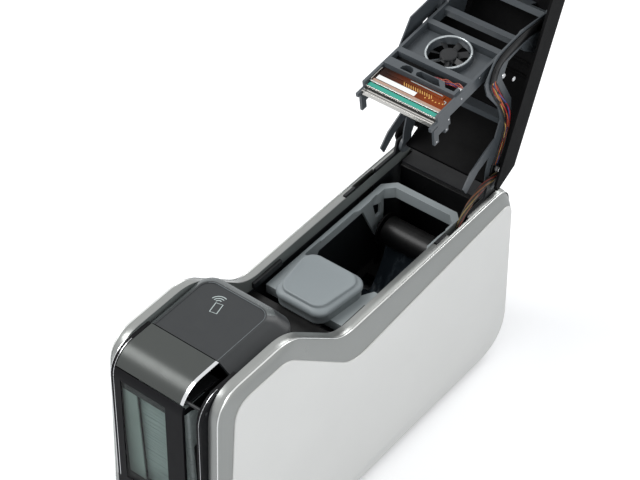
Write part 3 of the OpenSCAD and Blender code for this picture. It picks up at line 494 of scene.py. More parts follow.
def tube(bm, points, r, n=8):
    rings = []
    for i, p in enumerate(points):
        along = heading(points, i)
        side = along.cross(ASIDE).normalized()
        over = along.cross(side)
        rings.append([p + side * (r * c) + over * (r * s) for c, s in circle(1, n=n)])
    ring_skin(bm, rings)


print("routes ready")

# %% [markdown]
# A finished piece is smooth over its curves, sharp at its folds and has a fine bevel that
# catches the light, as moulded and bent parts have. Pockets are cut with a boolean, and the result
# becomes a plain mesh. Last, the piece rides on its body and says which nodes it stands for.

# %% Finishing a piece
def as_mesh(obj):
    graph = bpy.context.evaluated_depsgraph_get()
    return bpy.data.meshes.new_from_object(obj.evaluated_get(graph))


def raw_object(name, bm, place):
    bmesh.ops.transform(bm, matrix=place, verts=bm.verts)
    bmesh.ops.recalc_face_normals(bm, faces=bm.faces)
    mesh = bpy.data.meshes.new(name)
    bm.to_mesh(mesh)
    bm.free()
    obj = bpy.data.objects.new(name, mesh)
    bpy.context.scene.collection.objects.link(obj)
    return obj


def finished(obj, material, body, stands_for=(), bevel=0.0, angle=38, cuts=None, place=BODY):
    if cuts is not None:
        tool = raw_object(obj.name + "_tool", cuts, place)
        knife = obj.modifiers.new("pockets", "BOOLEAN")
        knife.object, knife.operation, knife.solver = tool, "DIFFERENCE", "EXACT"
        knife.use_self = True
        mesh = as_mesh(obj)
        obj.modifiers.clear()
        obj.data = mesh
        bpy.data.objects.remove(tool)
    mesh = obj.data
    mesh.materials.clear()
    mesh.materials.append(material)
    mesh.shade_smooth()
    mesh.set_sharp_from_angle(angle=math.radians(angle))
    if bevel:
        edge = obj.modifiers.new("edge", "BEVEL")
        edge.width, edge.segments, edge.limit_method = bevel * MM, 2, "ANGLE"
        edge.angle_limit, edge.harden_normals = math.radians(angle), True
    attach(obj, body)
    if stands_for:
        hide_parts(*stands_for)
    return obj


print("finishing ready")

# %% [markdown]
# A piece is made in one of two ways: new from mesh code, or as a copy of a solid whose shape is
# right. A copied solid is a mesh of loose triangles, so its doubles are merged and its flat faces
# joined first, and then the bevel runs only along its real edges.

# %% New pieces and dressed solids
def part(name, bm, slot, body="body", place=BODY, material=None, **how):
    """A new piece from mesh code, in the finish of its slot or in one of its own."""
    obj = raw_object(name, bm, place)
    finished(obj, material or FINISH[slot], body, place=place, **how)
    return obj


def dressed(node, slot, bevel=0.4, material=None, **how):
    """A copy of a solid that is right already, with clean faces, a bevel and a finish."""
    bm = bmesh.new()
    bm.from_mesh(nodes[node].data)
    bmesh.ops.remove_doubles(bm, verts=bm.verts, dist=2e-6)
    bmesh.ops.dissolve_limit(bm, angle_limit=math.radians(0.6), verts=bm.verts, edges=bm.edges)
    obj = raw_object(node + "_fine", bm, Matrix.Identity(4))
    finished(obj, material or FINISH[slot], body_of[node], stands_for=(node,), bevel=bevel, **how)
    return obj


print("pieces can be made")

# %% [markdown]
# Four shortcuts save writing. Three make a piece at once: from plain blocks, from one plate or
# from one skin. The last takes a table of nodes whose solid is right already and gives each its
# finish and its bevel.

# %% Shortcuts
def boxes(name, slot, rows, *where, **how):
    """One piece of blocks, each given as x0, x1, y0, y1, z0, z1."""
    bm = bmesh.new()
    for row in rows:
        block(bm, *row)
    return part(name, bm, slot, *where, **how)


def cut_plate(name, slot, outline, x0, x1, *where, **how):
    bm = bmesh.new()
    plate(bm, outline, x0, x1)
    return part(name, bm, slot, *where, **how)


def skin(name, slot, rings, *where, **how):
    bm = bmesh.new()
    ring_skin(bm, rings)
    return part(name, bm, slot, *where, **how)


def dress_all(table):
    for node, slot, bevel in table:
        dressed(node, slot, bevel)
    return len(table)


print("shortcuts ready")

# %% [markdown]
# Screws, cards, ribs, gilt pads and fan blades come from two small Geometry Nodes trees. Each
# ends in Realize Instances and Set Material, and its result becomes a plain mesh for its body.
# Two helpers make a tree with its named inputs, and join its points to its end.

# %% Helpers for trees
def node_tree(name, inputs):
    t = bpy.data.node_groups.new(name, "GeometryNodeTree")
    for label, kind in inputs:
        t.interface.new_socket(label, in_out="INPUT", socket_type=kind)
    t.interface.new_socket("Geometry", in_out="OUTPUT", socket_type="NodeSocketGeometry")
    return t, t.nodes.new("NodeGroupInput").outputs, t.nodes.new("NodeGroupOutput").inputs


def joined(t, out, points, source, rotation=None):
    info = t.nodes.new("GeometryNodeObjectInfo")
    put = t.nodes.new("GeometryNodeInstanceOnPoints")
    real = t.nodes.new("GeometryNodeRealizeInstances")
    paint = t.nodes.new("GeometryNodeSetMaterial")
    t.links.new(source["Part"], info.inputs["Object"])
    t.links.new(points, put.inputs["Points"])
    t.links.new(info.outputs["Geometry"], put.inputs["Instance"])
    if rotation is not None:
        t.links.new(rotation, put.inputs["Rotation"])
    t.links.new(put.outputs[0], real.inputs[0])
    t.links.new(real.outputs[0], paint.inputs["Geometry"])
    t.links.new(source["Material"], paint.inputs["Material"])
    t.links.new(paint.outputs[0], out["Geometry"])


print("tree helpers ready")

# %% [markdown]
# The row tree makes a line of points at equal steps, and may move each by a small random amount,
# which comes from a fixed seed. The ring tree puts all its points in one place, and turns each
# copy by its own share of a whole turn.

# %% Row and ring
SEED = 7


def make_row():
    t, given, out = node_tree("row", [("Part", "NodeSocketObject"), ("Count", "NodeSocketInt"),
                                      ("Start", "NodeSocketVector"),
                                      ("Step", "NodeSocketVector"),
                                      ("Scatter", "NodeSocketVector"),
                                      ("Material", "NodeSocketMaterial")])
    line = t.nodes.new("GeometryNodeMeshLine")
    line.mode = "OFFSET"
    for label, socket in (("Count", "Count"), ("Start", "Start Location"), ("Step", "Offset")):
        t.links.new(given[label], line.inputs[socket])
    rand = t.nodes.new("FunctionNodeRandomValue")
    rand.data_type = "FLOAT_VECTOR"
    rand.inputs["Seed"].default_value = SEED
    less = t.nodes.new("ShaderNodeVectorMath")
    less.operation = "SCALE"
    less.inputs["Scale"].default_value = -1
    t.links.new(given["Scatter"], less.inputs[0])
    t.links.new(less.outputs[0], rand.inputs["Min"])
    t.links.new(given["Scatter"], rand.inputs["Max"])
    move = t.nodes.new("GeometryNodeSetPosition")
    t.links.new(line.outputs[0], move.inputs["Geometry"])
    t.links.new(rand.outputs["Value"], move.inputs["Offset"])
    joined(t, out, move.outputs[0], given)
    return t


def make_ring():
    t, given, out = node_tree("ring", [("Part", "NodeSocketObject"), ("Count", "NodeSocketInt"),
                                       ("Material", "NodeSocketMaterial")])
    line = t.nodes.new("GeometryNodeMeshLine")
    line.mode = "OFFSET"
    line.inputs["Offset"].default_value = (0, 0, 0)
    t.links.new(given["Count"], line.inputs["Count"])
    index, whole = t.nodes.new("GeometryNodeInputIndex"), t.nodes.new("ShaderNodeCombineXYZ")
    share = math_node(t, "DIVIDE", index.outputs[0], given["Count"])
    t.links.new(math_node(t, "MULTIPLY", share, 2 * math.pi), whole.inputs["X"])
    joined(t, out, line.outputs[0], given, whole.outputs[0])
    return t


ROW, RING = make_row(), make_ring()
print("trees:", ROW.name, RING.name)

# %% [markdown]
# The part to be repeated is drawn in millimetres in its own drawing. An empty mesh carries the
# modifier, whose inputs are set by the identifiers of their sockets, and the evaluated result is
# taken as a plain mesh and put in its place.

# %% Using the trees
def repeated(name, tree, source, slot, body, place=BODY, stands_for=(), bevel=0.0, material=None,
             **values):
    one = raw_object(name + "_one", source, Matrix.Identity(4))
    holder = raw_object(name, bmesh.new(), Matrix.Identity(4))
    mod = holder.modifiers.new("repeat", "NODES")
    mod.node_group = tree
    keys = {s.name: s.identifier for s in tree.interface.items_tree if s.in_out == "INPUT"}
    mod[keys["Part"]], mod[keys["Material"]] = one, material or FINISH[slot]
    for label, value in values.items():
        mod[keys[label]] = value
    mesh = as_mesh(holder)
    holder.modifiers.clear()
    mesh.transform(place)
    holder.data = mesh
    bpy.data.objects.remove(one)
    finished(holder, material or FINISH[slot], body, stands_for=stands_for, bevel=bevel)
    return holder


print("repeats ready")

# %% [markdown]
# Each side of the body is one tall moulding with a painted rim, a shoulder and a flat panel. The
# outline is the same at every layer, only moved inwards and bent towards the outline of the
# panel, so the whole side is one loft of rings. A finer loft than the solid keeps it smooth.
# Each corner of an outline is given as y, z and the length of its round.

# %% Side outlines
RIM = [(-208, 4, 10), (210, 4, 44), (211, 197, 20), (-33, 197, 46), (-99, 252, 52),
       (-190, 252, 30)]
FLAT = [(-202, 8, 10), (207, 7, 42), (208, 184, 14), (-27, 167, 44), (-110, 240, 30),
        (-176, 240, 22)]


def moved_in(p, d):
    """The outline p moved inwards by d, with its rounds made smaller."""
    out = []
    for i, b in enumerate(p):
        a, c = p[i - 1], p[(i + 1) % len(p)]
        u = Vector((b[0] - a[0], b[1] - a[1])).normalized()
        v = Vector((c[0] - b[0], c[1] - b[1])).normalized()
        n1, n2 = Vector((-u.y, u.x)), Vector((-v.y, v.x))
        m = d * (n1 + n2) / (1 + n1.dot(n2))
        out.append((b[0] + m.x, b[1] + m.y, max(b[2] - d, 2)))
    return out


def mixed(p, q, k):
    return [tuple((1 - k) * s + k * t for s, t in zip(a, b)) for a, b in zip(p, q)]


def curved(p, steps):
    """The outline p with each corner drawn as a curve that touches both sides."""
    out = []
    for i, b in enumerate(p):
        a, c, o = p[i - 1], p[(i + 1) % len(p)], Vector(b[:2])
        u = (o - Vector(a[:2])).normalized()
        v = (Vector(c[:2]) - o).normalized()
        t = b[2] * math.tan(math.acos(max(-1, min(1, u.dot(v)))) / 2)
        for k in range(steps + 1):
            s = k / steps
            out.append((1 - s) ** 2 * (o - t * u) + 2 * s * (1 - s) * o + s * s * (o + t * v))
    return out


def side_ring(x, outline, steps=20):
    return [(x, p.x, p.y) for p in curved(outline, steps)]


SHOULDER = [(57, 0.0), (57.7, 0.075), (58.6, 0.19), (59.4, 0.32), (60.2, 0.47), (60.9, 0.62),
            (61.5, 0.77), (62.05, 0.9), (62.5, 1.0)]
print("rim of", len(curved(RIM, 20)), "points")

# %% [markdown]
# The moulding starts inside behind the panel, turns round the rim and comes back over the
# shoulder. Two blocks are cut out of it, where the arms of the lid swing. The panel is a shallow
# pillow on it. The left side is the right one mirrored.

# %% Side mouldings and panels
def on_side(mirror):
    return BODY @ Matrix.Scale(-1, 4, (1, 0, 0)) if mirror else BODY


def side_moulding(name, mirror):
    inside = [(60.2, FLAT, 2), (58.2, mixed(RIM, FLAT, .8), 2), (56, mixed(RIM, FLAT, .3), 2),
              (53, RIM, 2.6), (48.4, RIM, 2.2), (48.4, RIM, -0.9), (48.7, RIM, -1.15),
              (52.4, RIM, -0.9), (55.2, RIM, -0.25), (56.3, RIM, 0.3)]
    shoulder = [(x, mixed(RIM, FLAT, k), 1 - k) for x, k in SHOULDER]
    cut = bmesh.new()
    block(cut, 40, 52.4, 106, 204, 185, 206)
    block(cut, 45, 54.4, 122, 152, 185, 206)
    return skin(name + "_moulding", "case_silver",
                [side_ring(x, moved_in(outline, d)) for x, outline, d in inside + shoulder],
                place=on_side(mirror), cuts=cut, angle=30, stands_for=(name,))


def side_panel(name, mirror):
    steps = [(62.5, .6), (63.2, .6), (63.6, .75), (63.87, 1.05), (64, 1.6)]
    return skin(name + "_face", "panel_white",
                [side_ring(x, moved_in(FLAT, d)) for x, d in steps],
                place=on_side(mirror), stands_for=(name,), angle=50)


print("side shapes ready")

# %% [markdown]
# A lining closes the inner face of the rim along its top. Its mid grey, darker than the silver, is
# painted shade on that face. A pale polished bead marks the line where the rim turns over into the
# shoulder; its bright colour is a painted highlight on that edge. Both are skins whose rings run
# across the rim, from one of its points to the next, so each takes only the part of the outline
# that it covers.

# %% Shaded linings, highlight beads and both sides
LINED = slice(44, 126)
BEAD_FROM, BEAD_TO = 42, 12
# Mid grey, darker than the silver: painted shade on the inner face of the rim.
RIM_SHADE_GREY = finish("grey_rim_lining", (116, 121, 119), 0.4, 0.25, 1800, 0.01, 0.06)
# Near-white polished metal: a painted highlight along the rim's edge.
RIM_HIGHLIGHT = finish("polished_rim_bead", (226, 228, 226), 0.16, 0.9, 2400, 0.002, 0.03)


# The inner face of the rim, in a mid grey that is painted shade.
def shaded_rim_lining(name, mirror):
    x0, x1 = (-48.39, -48.22) if mirror else (48.22, 48.39)
    loops = [side_ring(x, moved_in(RIM, d))[LINED]
             for x, d in ((x0, -0.6), (x1, -0.6), (x1, 11), (x0, 11))]
    return skin(name + "_rim_lining", "case_silver", zip(*loops), material=RIM_SHADE_GREY, angle=60)


# A bright bead on the rim's edge; its pale colour is a painted highlight.
def rim_highlight_bead(name, mirror):
    loops = [side_ring(-x if mirror else x, moved_in(RIM, d))
             for x, d in ((56.2, .2), (56.45, -.2), (56.95, -.36), (57.5, -.2), (57.8, .2),
                          (57, .6))]
    if mirror:
        loops.reverse()
    loops = [loop[BEAD_FROM:] + loop[:BEAD_TO] for loop in loops]
    return skin(name + "_rim_bead", "case_silver", zip(*loops), material=RIM_HIGHLIGHT, angle=60)


for side, mirror in (("right", False), ("left", True)):
    trim, face = side_moulding(side + "_trim", mirror), side_panel(side + "_panel", mirror)
    shaded_rim_lining(side, mirror)
    rim_highlight_bead(side, mirror)
    print(side, "side:", len(trim.data.polygons), "and", len(face.data.polygons), "faces")

# %% [markdown]
# The hood is a thin shell with a flat top, a sloping band round it and rounded rear corners. The
# real one is moulded in one piece, so it is one loft: down the inside, round the lower lip, up
# the outside, over a small round edge and into a shallow recessed field on the top. Each ring is
# given by its height, its left, right and rear edge, and the radius of its two rear corners. Two
# small tabs hold the hood between the sides.

# %% Hood shell
HOOD_FRONT = -153


def hood_ring(z, left, right, rear, r, steps=10):
    pts = [(left, HOOD_FRONT)]
    for cx, a0 in ((left + r, 180), (right - r, 90)):
        pts += arc(cx, rear - r, r, [a0 - 90 * k / steps for k in range(steps + 1)])
    return [(x, y, z) for x, y in pts + [(right, HOOD_FRONT)]]


def hood_shell():
    wall = [(182, -45.5, 40.5, -75.5, 13.5), (236, -45.5, 40.5, -75.5, 13.5),
            (244.6, -45.5, 30, -80.5, 12), (247.2, -40.5, 24.5, -87.5, 9.5)]
    outside = [(182, -48, 43, -73, 16), (237.6, -48, 43, -73, 16), (238.6, -48, 42.6, -73.1, 16),
               (239.3, -48, 41.8, -73.6, 15.8), (245.5, -48, 33.2, -77.4, 14.3),
               (246.4, -47.8, 31.9, -78.1, 14), (247.0, -47.1, 30.9, -79.0, 13.7),
               (249.3, -43.8, 27.7, -84.1, 12.4), (249.8, -43.0, 26.9, -85.1, 12),
               (250, -42.1, 26.1, -86.0, 11.4), (250, -41.6, 25.6, -86.5, 11),
               (249.85, -41.3, 25.3, -86.8, 10.8), (249.35, -41.1, 25.1, -87.0, 10.6)]
    bm = bmesh.new()
    ring_skin(bm, [hood_ring(*w) for w in wall[::-1] + outside])
    for x0, x1 in ((-49.4, -45), (40, 49.4)):
        block(bm, x0, x1, -104, -90, 205, 208)
    return part("hood_shell", bm, "hood_dark", stands_for=("hood",), angle=42)


hood = hood_shell()
print("hood of", len(hood.data.polygons), "faces")

# %% [markdown]
# A plain pictogram, a card with three arcs over it, shows where to hold a card. It is a raised
# print: each line is a row of flat quads of one width.

# %% Pictogram
ICON_HALF_WIDTH = 0.42


def icon_line(points, half, closed=False):
    """The left and right side of a line of constant width along points."""
    n, left, right = len(points), [], []
    for i, p in enumerate(points):
        a = points[(i - 1) % n] if closed or i else points[i]
        b = points[(i + 1) % n] if closed or i < n - 1 else points[i]
        d = (Vector(b) - Vector(a)).normalized()
        side = Vector((-d.y, d.x)) * half
        left.append(Vector(p) + side)
        right.append(Vector(p) - side)
    return left, right


def card_icon(cx, cy, turn):
    bm = bmesh.new()
    lines = [([(-3.3, -7), (3.3, -7), (3.3, 4), (-3.3, 4)], True)]
    lines += [(arc(-1.4, 4.4, r, range(58, 159, 10)), False) for r in (3.0, 5.4, 7.8)]
    c, s = math.cos(math.radians(turn)), math.sin(math.radians(turn))
    for pts, closed in lines:
        left, right = icon_line(pts, ICON_HALF_WIDTH, closed)
        for i in range(len(pts) if closed else len(pts) - 1):
            j = (i + 1) % len(pts)
            quad = [left[i], left[j], right[j], right[i]]
            quad = [(cx + c * q.x - s * q.y, cy + s * q.x + c * q.y) for q in quad]
            slab(bm, quad, 249.3, 249.48)
    return part("card_icon", bm, "card_white")


icon = card_icon(-14.3, -107, 12)
print("icon of", len(icon.data.polygons), "faces")

# %% [markdown]
# Two thin skins lie on the hood and give it its lines of light, in painted colour. A pale bead
# runs along the right and the rear of the recessed field; its pale grey is a painted highlight on
# that edge. A lighter grey band covers the slope on the left and the rear; its colour is a painted
# reflection on that slope. Each takes only the points of the hood's rings that it needs.

# %% Painted highlight edge and painted reflection band of the hood
# Pale grey on the dark hood: a painted highlight along the field's edge.
HOOD_HIGHLIGHT = finish("polished_hood_edge", (116, 122, 124), 0.2, 0.2, 900, 0.003, 0.04)
# Lighter grey on the left and rear slope: a painted reflection.
HOOD_REFLECTION = finish("satin_hood_band", (92, 97, 97), 0.26, 0.3, 2600, 0.01, 0.06)
FINE_STEPS = 14
RIGHT_AND_REAR, LEFT_AND_REAR = slice(-24, None), slice(25)


# The bead whose pale colour paints the highlight on the field's right and rear edge.
def hood_edge():
    rings = [hood_ring(z, -41.6 + d, 25.6 - d, -86.5 - d, 11 - d, FINE_STEPS)[RIGHT_AND_REAR]
             for z, d in ((249.7, -0.3), (250.06, -0.1), (250.06, 0.25), (249.3, 0.5))]
    return skin("hood_edge", "hood_dark", zip(*rings), material=HOOD_HIGHLIGHT, angle=60)


# The band whose lighter grey paints the reflection on the hood's slope.
def hood_band():
    rings = [hood_ring(*w, FINE_STEPS)[LEFT_AND_REAR]
             for w in ((246.0, -48.12, 32.0, -77.9, 14.1), (247.1, -47.3, 31.0, -78.9, 13.8),
                       (249.45, -43.75, 27.7, -84.2, 12.5), (249.9, -42.9, 26.8, -85.2, 12),
                       (249.3, -42.9, 26.8, -85.2, 12), (245.6, -47.3, 31.0, -78.9, 13.8))]
    return skin("hood_band", "hood_dark", zip(*rings), material=HOOD_REFLECTION, angle=50)


hood_edge()
hood_band()
print("hood edge and band laid on")

# %% [markdown]
# The hopper front is a tall curved skin with a window. The solids of its flap, window and frame
# follow that curve already, so each gets only a finish and a fine bevel. Behind them a dark header
# follows the skin over the window, a pale fence lines up the cards on the left of the magazine,
# and a slanted black plate closes the top of the card channel; its flat black is painted shade.

# %% Hopper front
FRONT_Y, FRONT_Z, FRONT_ROUND = -176, 225, 25
HEADER_TOP = 229
CHANNEL_SHADE_OUTLINE = [(-197.4, 231), (-197.4, 226), (-190, 225), (-150, 204), (-150, 231)]


def front_curve(d, steps=24):
    """The round upper edge of the front, seen from the side, moved inwards by d."""
    return arc(FRONT_Y, FRONT_Z, FRONT_ROUND - d, [90 + 88 * k / steps for k in range(steps + 1)])


def window_header():
    outer = [p for p in front_curve(3.2, 60) if p[1] < HEADER_TOP] + [(-198.3, 216)]
    inner = [p for p in front_curve(4.2, 60) if p[1] < HEADER_TOP] + [(-197.3, 216)]
    return cut_plate("window_header", "inner_black", outer + inner[::-1], -37.9, 9.9)


window_header()
boxes("card_fence", "card_white", [(-41.5, -24, -197.3, -196.1, 111, 218)], bevel=0.2,
      material=finish("pale_fence_plastic", (160, 170, 166), 0.4, 0, 2000, 0.02, 0.06))
# A flat black plate over the card channel: painted shade.
cut_plate("channel_guide", "inner_black", CHANNEL_SHADE_OUTLINE, 27.45, 28.35, bevel=0.2,
          material=FINISH["lid_black"])
dressed("front_frame", "case_dark", 0.5,
        finish("black_hopper_plastic", (20, 20, 22), 0.4, 0, 1900, 0.05, 0.12, 0.03,
               Specular_IOR_Level=0.06))
count = dress_all((("hopper_flap", "flap_dark", 0.35), ("flap_strip", "chrome_trim", 0.3),
                   ("hopper_window", "smoke_window", 0.2), ("card_magazine", "inner_black", 0.4),
                   ("card_weight", "case_dark", 0.5), ("output_tray", "case_dark", 0.6)))
print("hopper front:", count + 4, "pieces")

# %% [markdown]
# Three bright lines run down the front, two on its left and one on its right cheek. Each is a
# narrow strip that follows the curve of the skin and is 0.7 mm deep.

# %% Bright lines
LINE_DEPTH = 0.7


def bright_line(name, x0, x1, top=-153.8, low=(-206.2, 110)):
    path = [(top, 250.0)] + front_curve(0) + [low]
    inner = [(top, 249.3)] + front_curve(LINE_DEPTH) + [(low[0] + LINE_DEPTH, low[1])]
    return cut_plate(name, "chrome_trim", path + inner[::-1], x0, x1, bevel=0.15)


for name, x0, x1 in (("left_line", -48.6, -47.9), ("left_inner_line", -45.6, -45.0),
                     ("cheek_line", 45.3, 45.8)):
    bright_line(name, x0, x1)
print("bright lines laid on")

# %% [markdown]
# Blank cards are 0.76 mm thick with round corners. A stack of them shows as fine lines through
# the window. One card is drawn, and the row tree sets the others on it, each a little askew.

# %% Cards in the hopper
CARD_ROUND, CARDS, CARD_PITCH, FACES_OF_A_CARD = 3.1, 160, 0.823, 22


def one_card():
    bm = bmesh.new()
    pts = []
    for cx, cy, a0 in ((23.9, -110.6, 0), (-23.9, -110.6, 90), (-23.9, -189.7, 180),
                       (23.9, -189.7, 270)):
        pts += arc(cx, cy, CARD_ROUND, [a0 + 22.5 * k for k in range(5)])
    slab(bm, pts, 94.25, 95.0)
    return bm


cards = repeated("blank_cards", ROW, one_card(), "card_white", "body", stands_for=("card_stack",),
                 Count=CARDS, Step=(0, 0, CARD_PITCH), Scatter=(0.25, 0.22, 0))
print("cards:", len(cards.data.polygons) // FACES_OF_A_CARD)

# %% [markdown]
# Inside the open bay are black mouldings, dark side plates, rollers and gears. Their solids are
# right, so each gets its finish and a bevel as wide as the radius of its mould or its sheet. Parts
# with teeth keep sharp teeth, because a bevel would eat them. A thin seal lies on the deck behind
# the bay.

# %% Bay, chassis, rollers and drives
count = dress_all((
        ("bay_liner", "inner_black", 0.45), ("left_chassis", "chassis_dark", 0.35),
        ("right_chassis", "chassis_dark", 0.35), ("base_tray", "case_dark", 0.6),
        ("rubber_feet", "rubber_black", 0.5), ("rear_cover", "case_dark", 0.4),
        ("power_inlet", "inner_black", 0.3), ("data_ports", "steel_bright", 0.25),
        ("power_button", "frame_grey", 0.5), ("main_board", "board_green", 0.15),
        ("drive_belt", "rubber_black", 0.2), ("drive_motor", "motor_steel", 0.5),
        ("ribbon_motor", "motor_steel", 0.4), ("pinch_roller", "frame_grey", 0.2),
        ("cleaning_roller", "roller_blue", 0.3), ("pick_sleeve", "rubber_black", 0.4),
        ("front_sleeve", "rubber_black", 0.4), ("mid_sleeve", "rubber_black", 0.4),
        ("platen_sleeve", "rubber_black", 0.4), ("pick_shaft", "steel_bright", 0.2),
        ("front_shaft", "steel_bright", 0.2), ("mid_shaft", "steel_bright", 0.2),
        ("platen_shaft", "steel_bright", 0), ("motor_pinion", "brass_gear", 0),
        ("ribbon_gear", "gear_cream", 0)))
dressed("flap_pin", "steel_bright", 0.2, FINISH["chassis_dark"])
boxes("deck_seal", "inner_black", [(-44, 44, 183.4, 189, 186.2, 187.95)])
print("inner parts:", count + 2)

# %% [markdown]
# A case screw has a low domed head with a hex socket. One is drawn on its own axis, and the row
# tree sets a pair of them on each line of the rear cover.

# %% Case screws
def screw(head, shank, y_face, length, x=0, z=0):
    """A screw along +Y. Its head, of the radius head, stands on the plane y_face."""
    def ring(y, r):
        return [(x + px, y, z + pz) for px, pz in circle(r, n=24)]

    def hexed(y, r):
        out = []
        for k in range(24):
            a = math.radians(15 * k)
            flat = max(0.87, math.cos(math.radians((15 * k) % 60 - 30)))
            out.append((x + r * math.cos(a) / flat, y, z + r * math.sin(a) / flat))
        return out

    bm = bmesh.new()
    top = y_face + head * 0.6
    ring_skin(bm, [ring(y_face - length, shank * 0.8), ring(y_face - length + 0.6, shank),
                   ring(y_face, shank), ring(y_face, head), ring(y_face + head * 0.25, head),
                   ring(top - 0.25, head * 0.82), ring(top, head * 0.6), hexed(top, head * 0.4),
                   hexed(top - head * 0.35, head * 0.38)])
    return bm


for row, z in (("lower", 100), ("upper", 150)):
    repeated(row + "_case_screws", ROW, screw(3, 1.5, 209, 6, -43, z), "steel_bright", "body",
             stands_for=("case_screws",), Count=2, Step=(86, 0, 0))
print("screws set")

# %% [markdown]
# The lid is a deep tray of black plastic, grained on both sides. Three ribs stiffen its roof, and
# two screw heads show on its right wall. Its C-shaped arms are folded sheet: flat, with fine
# bevels that catch the light. The hinge pins are oiled steel and stay dull.

# %% Lid
dressed("lid_shell", "inner_black", 0.6, FINISH["lid_black"])
dressed("hinge_pins", "steel_bright", 0.2,
        finish("oiled_pin_steel", (92, 94, 96), 0.42, 0.7, 900, 0.01, 0.1))
dress_all((("lid_frame", "frame_grey", 0.3), ("control_panel", "panel_black", 0.2),
           ("menu_key", "frame_grey", 0.5), ("select_key", "frame_grey", 0.5),
           ("latch_button", "frame_grey", 0.4), ("latch_hooks", "frame_grey", 0.3)))


def roof_rib():
    bm = bmesh.new()
    outline = [(-53, 226), (-53, 240), (-50.5, 242), (-43, 247.4), (-37, 248.3), (21, 248.3),
               (28, 247.4), (41, 242), (50, 233), (53, 229), (53, 222), (50.5, 226), (48, 231),
               (39.5, 239), (26, 244.4), (-36, 244.8), (-42, 244), (-49.5, 238.5), (-50.5, 230)]
    ring_skin(bm, [[(x, y, z) for x, z in outline] for y in (0, 1.2)])
    return bm


ribs = repeated("roof_ribs", ROW, roof_rib(), "inner_black", "lid", place=LID, bevel=0.2,
                material=FINISH["lid_black"], Count=3, Start=(0, 74, 0), Step=(0, 12, 0))
heads = bmesh.new()
for y, z in ((195.7, 331.1), (211.8, 317.5)):
    rod(heads, 2.3, 53.7, 54.7, y, z, 24, 0.3)
part("lid_screws", heads, "steel_bright", "lid")
print("lid dressed, rib faces:", len(ribs.data.polygons))

# %% [markdown]
# The print head is the busiest part. Its dark frame has three pockets in the bridge. It holds a
# bright alloy bar with the teal heater strip, and behind them a brown glossy flexible circuit.

# %% Print head
pockets = bmesh.new()
for outline in ([(-21, 25.4), (-8.6, 25.4), (-9, 29), (-11, 31.4), (-14.6, 32.3), (-18.4, 31.4),
                 (-20.6, 29)],
                [(-4, 25.6), (15, 25.2), (21.5, 25.8), (15.5, 32.2), (-3, 32.2), (-5.6, 29)],
                [(21.0, 33.6), (25.5, 27.6), (34.6, 27.6), (34.6, 33.6)]):
    slab(pockets, outline, -1.6, 8)
dressed("head_carrier", "frame_grey", 0.25, cuts=pockets, place=HEAD)
count = dress_all((("head_board", "board_brown", 0.15), ("heater_strip", "ceramic_teal", 0.25),
                   ("head_sink", "alloy", 0.2)))
print("print head:", count + 1, "pieces")

# %% [markdown]
# On the circuit lie a comb of slanted gilt pads, a row of gilt dots and a blank white label. The
# white edges of its connector show behind them.

# %% Pads and label of the circuit
GILT = finish("gilt_pads", (226, 178, 104), 0.22, 1.0, 700, 0.004, 0.06)
LABEL = finish("blank_paper_label", (236, 237, 234), 0.55, 0, 1500, 0.01, 0.03)
pad, dot = bmesh.new(), bmesh.new()
slab(pad, [(-0.45, 14.3), (0.45, 14.3), (-3.65, 19.8), (-4.55, 19.8)], 0.5, 0.82)
post(dot, 0.75, 0, 0, 0.5, 0.85, 16, 0.1)
comb = repeated("gilt_comb", ROW, pad, "brass_gear", "head", place=HEAD, material=GILT, Count=13,
                Start=(-8, 0, 0), Step=(2.4, 0, 0))
repeated("gilt_dots", ROW, dot, "brass_gear", "head", place=HEAD, material=GILT, Count=6,
         Start=(15.5, 12.2, 0), Step=(3.4, 0.15, 0), Scatter=(0.6, 1.4, 0))
boxes("label", "card_white", [(-34.4, 6.4, 8.6, 13.6, 0.5, 0.72)], "head", HEAD, LABEL)
boxes("connector_edge", "card_white",
      [(-6, 27.5, 21.1, 21.9, 1.5, 1.85), (31.6, 34.4, 17.2, 17.9, 0.5, 1.1),
       (33.7, 34.4, 14.6, 17.9, 0.5, 1.1)], "head", HEAD)
print("comb of", len(comb.data.polygons), "faces")

# %% [markdown]
# Polished bars frame the circuit, a pale strip bonds it beside the heater, and dark grooves part
# the bars from the sink. A black sheet under the bridge paints the shade inside the pockets.

# %% Bars, strip, grooves and painted pocket shade of the print head
boxes("bright_bars", "alloy",
      [(-37.3, 37.3, 3.3, 4.9, -0.9, 1.25), (-37.3, 37.3, -2.45, -1.75, -1.1, 0.15),
       (-37.3, -36.2, 5, 21.5, 0.4, 2.3)], "head", HEAD, bevel=0.25)
boxes("bond_strip", "card_white", [(-35.6, 36.2, 5.3, 7.9, 0.5, 0.68)], "head", HEAD,
      finish("pale_bond_strip", (176, 146, 128), 0.4, 0.2, 900, 0.004, 0.3, patches=260))
boxes("dark_grooves", "inner_black",
      [(-37.2, 37.2, -4.45, -2.7, -4.2, -3.0), (-37.3, 37.3, -6.55, -5.95, -2.6, -2.3),
       (-37.2, 37.2, 2.8, 3.2, -1.1, 0.1)], "head", HEAD)
# Flat black sheets under the bridge: painted shade in the pockets.
boxes("pocket_lining", "inner_black",
      [(-21.3, 35, 25.2, 33.4, -2.9, -1.5), (-37.2, 37.2, 33.1, 43.9, -3.1, -2.7)],
      "head", HEAD, FINISH["lid_black"])
print("bars, strip and linings laid on")

# %% [markdown]
# Three pairs of thin wires cross the bridge to a white plug. Rivets show on the right side of the
# frame, and a clear ring lies round the opening of the fan.

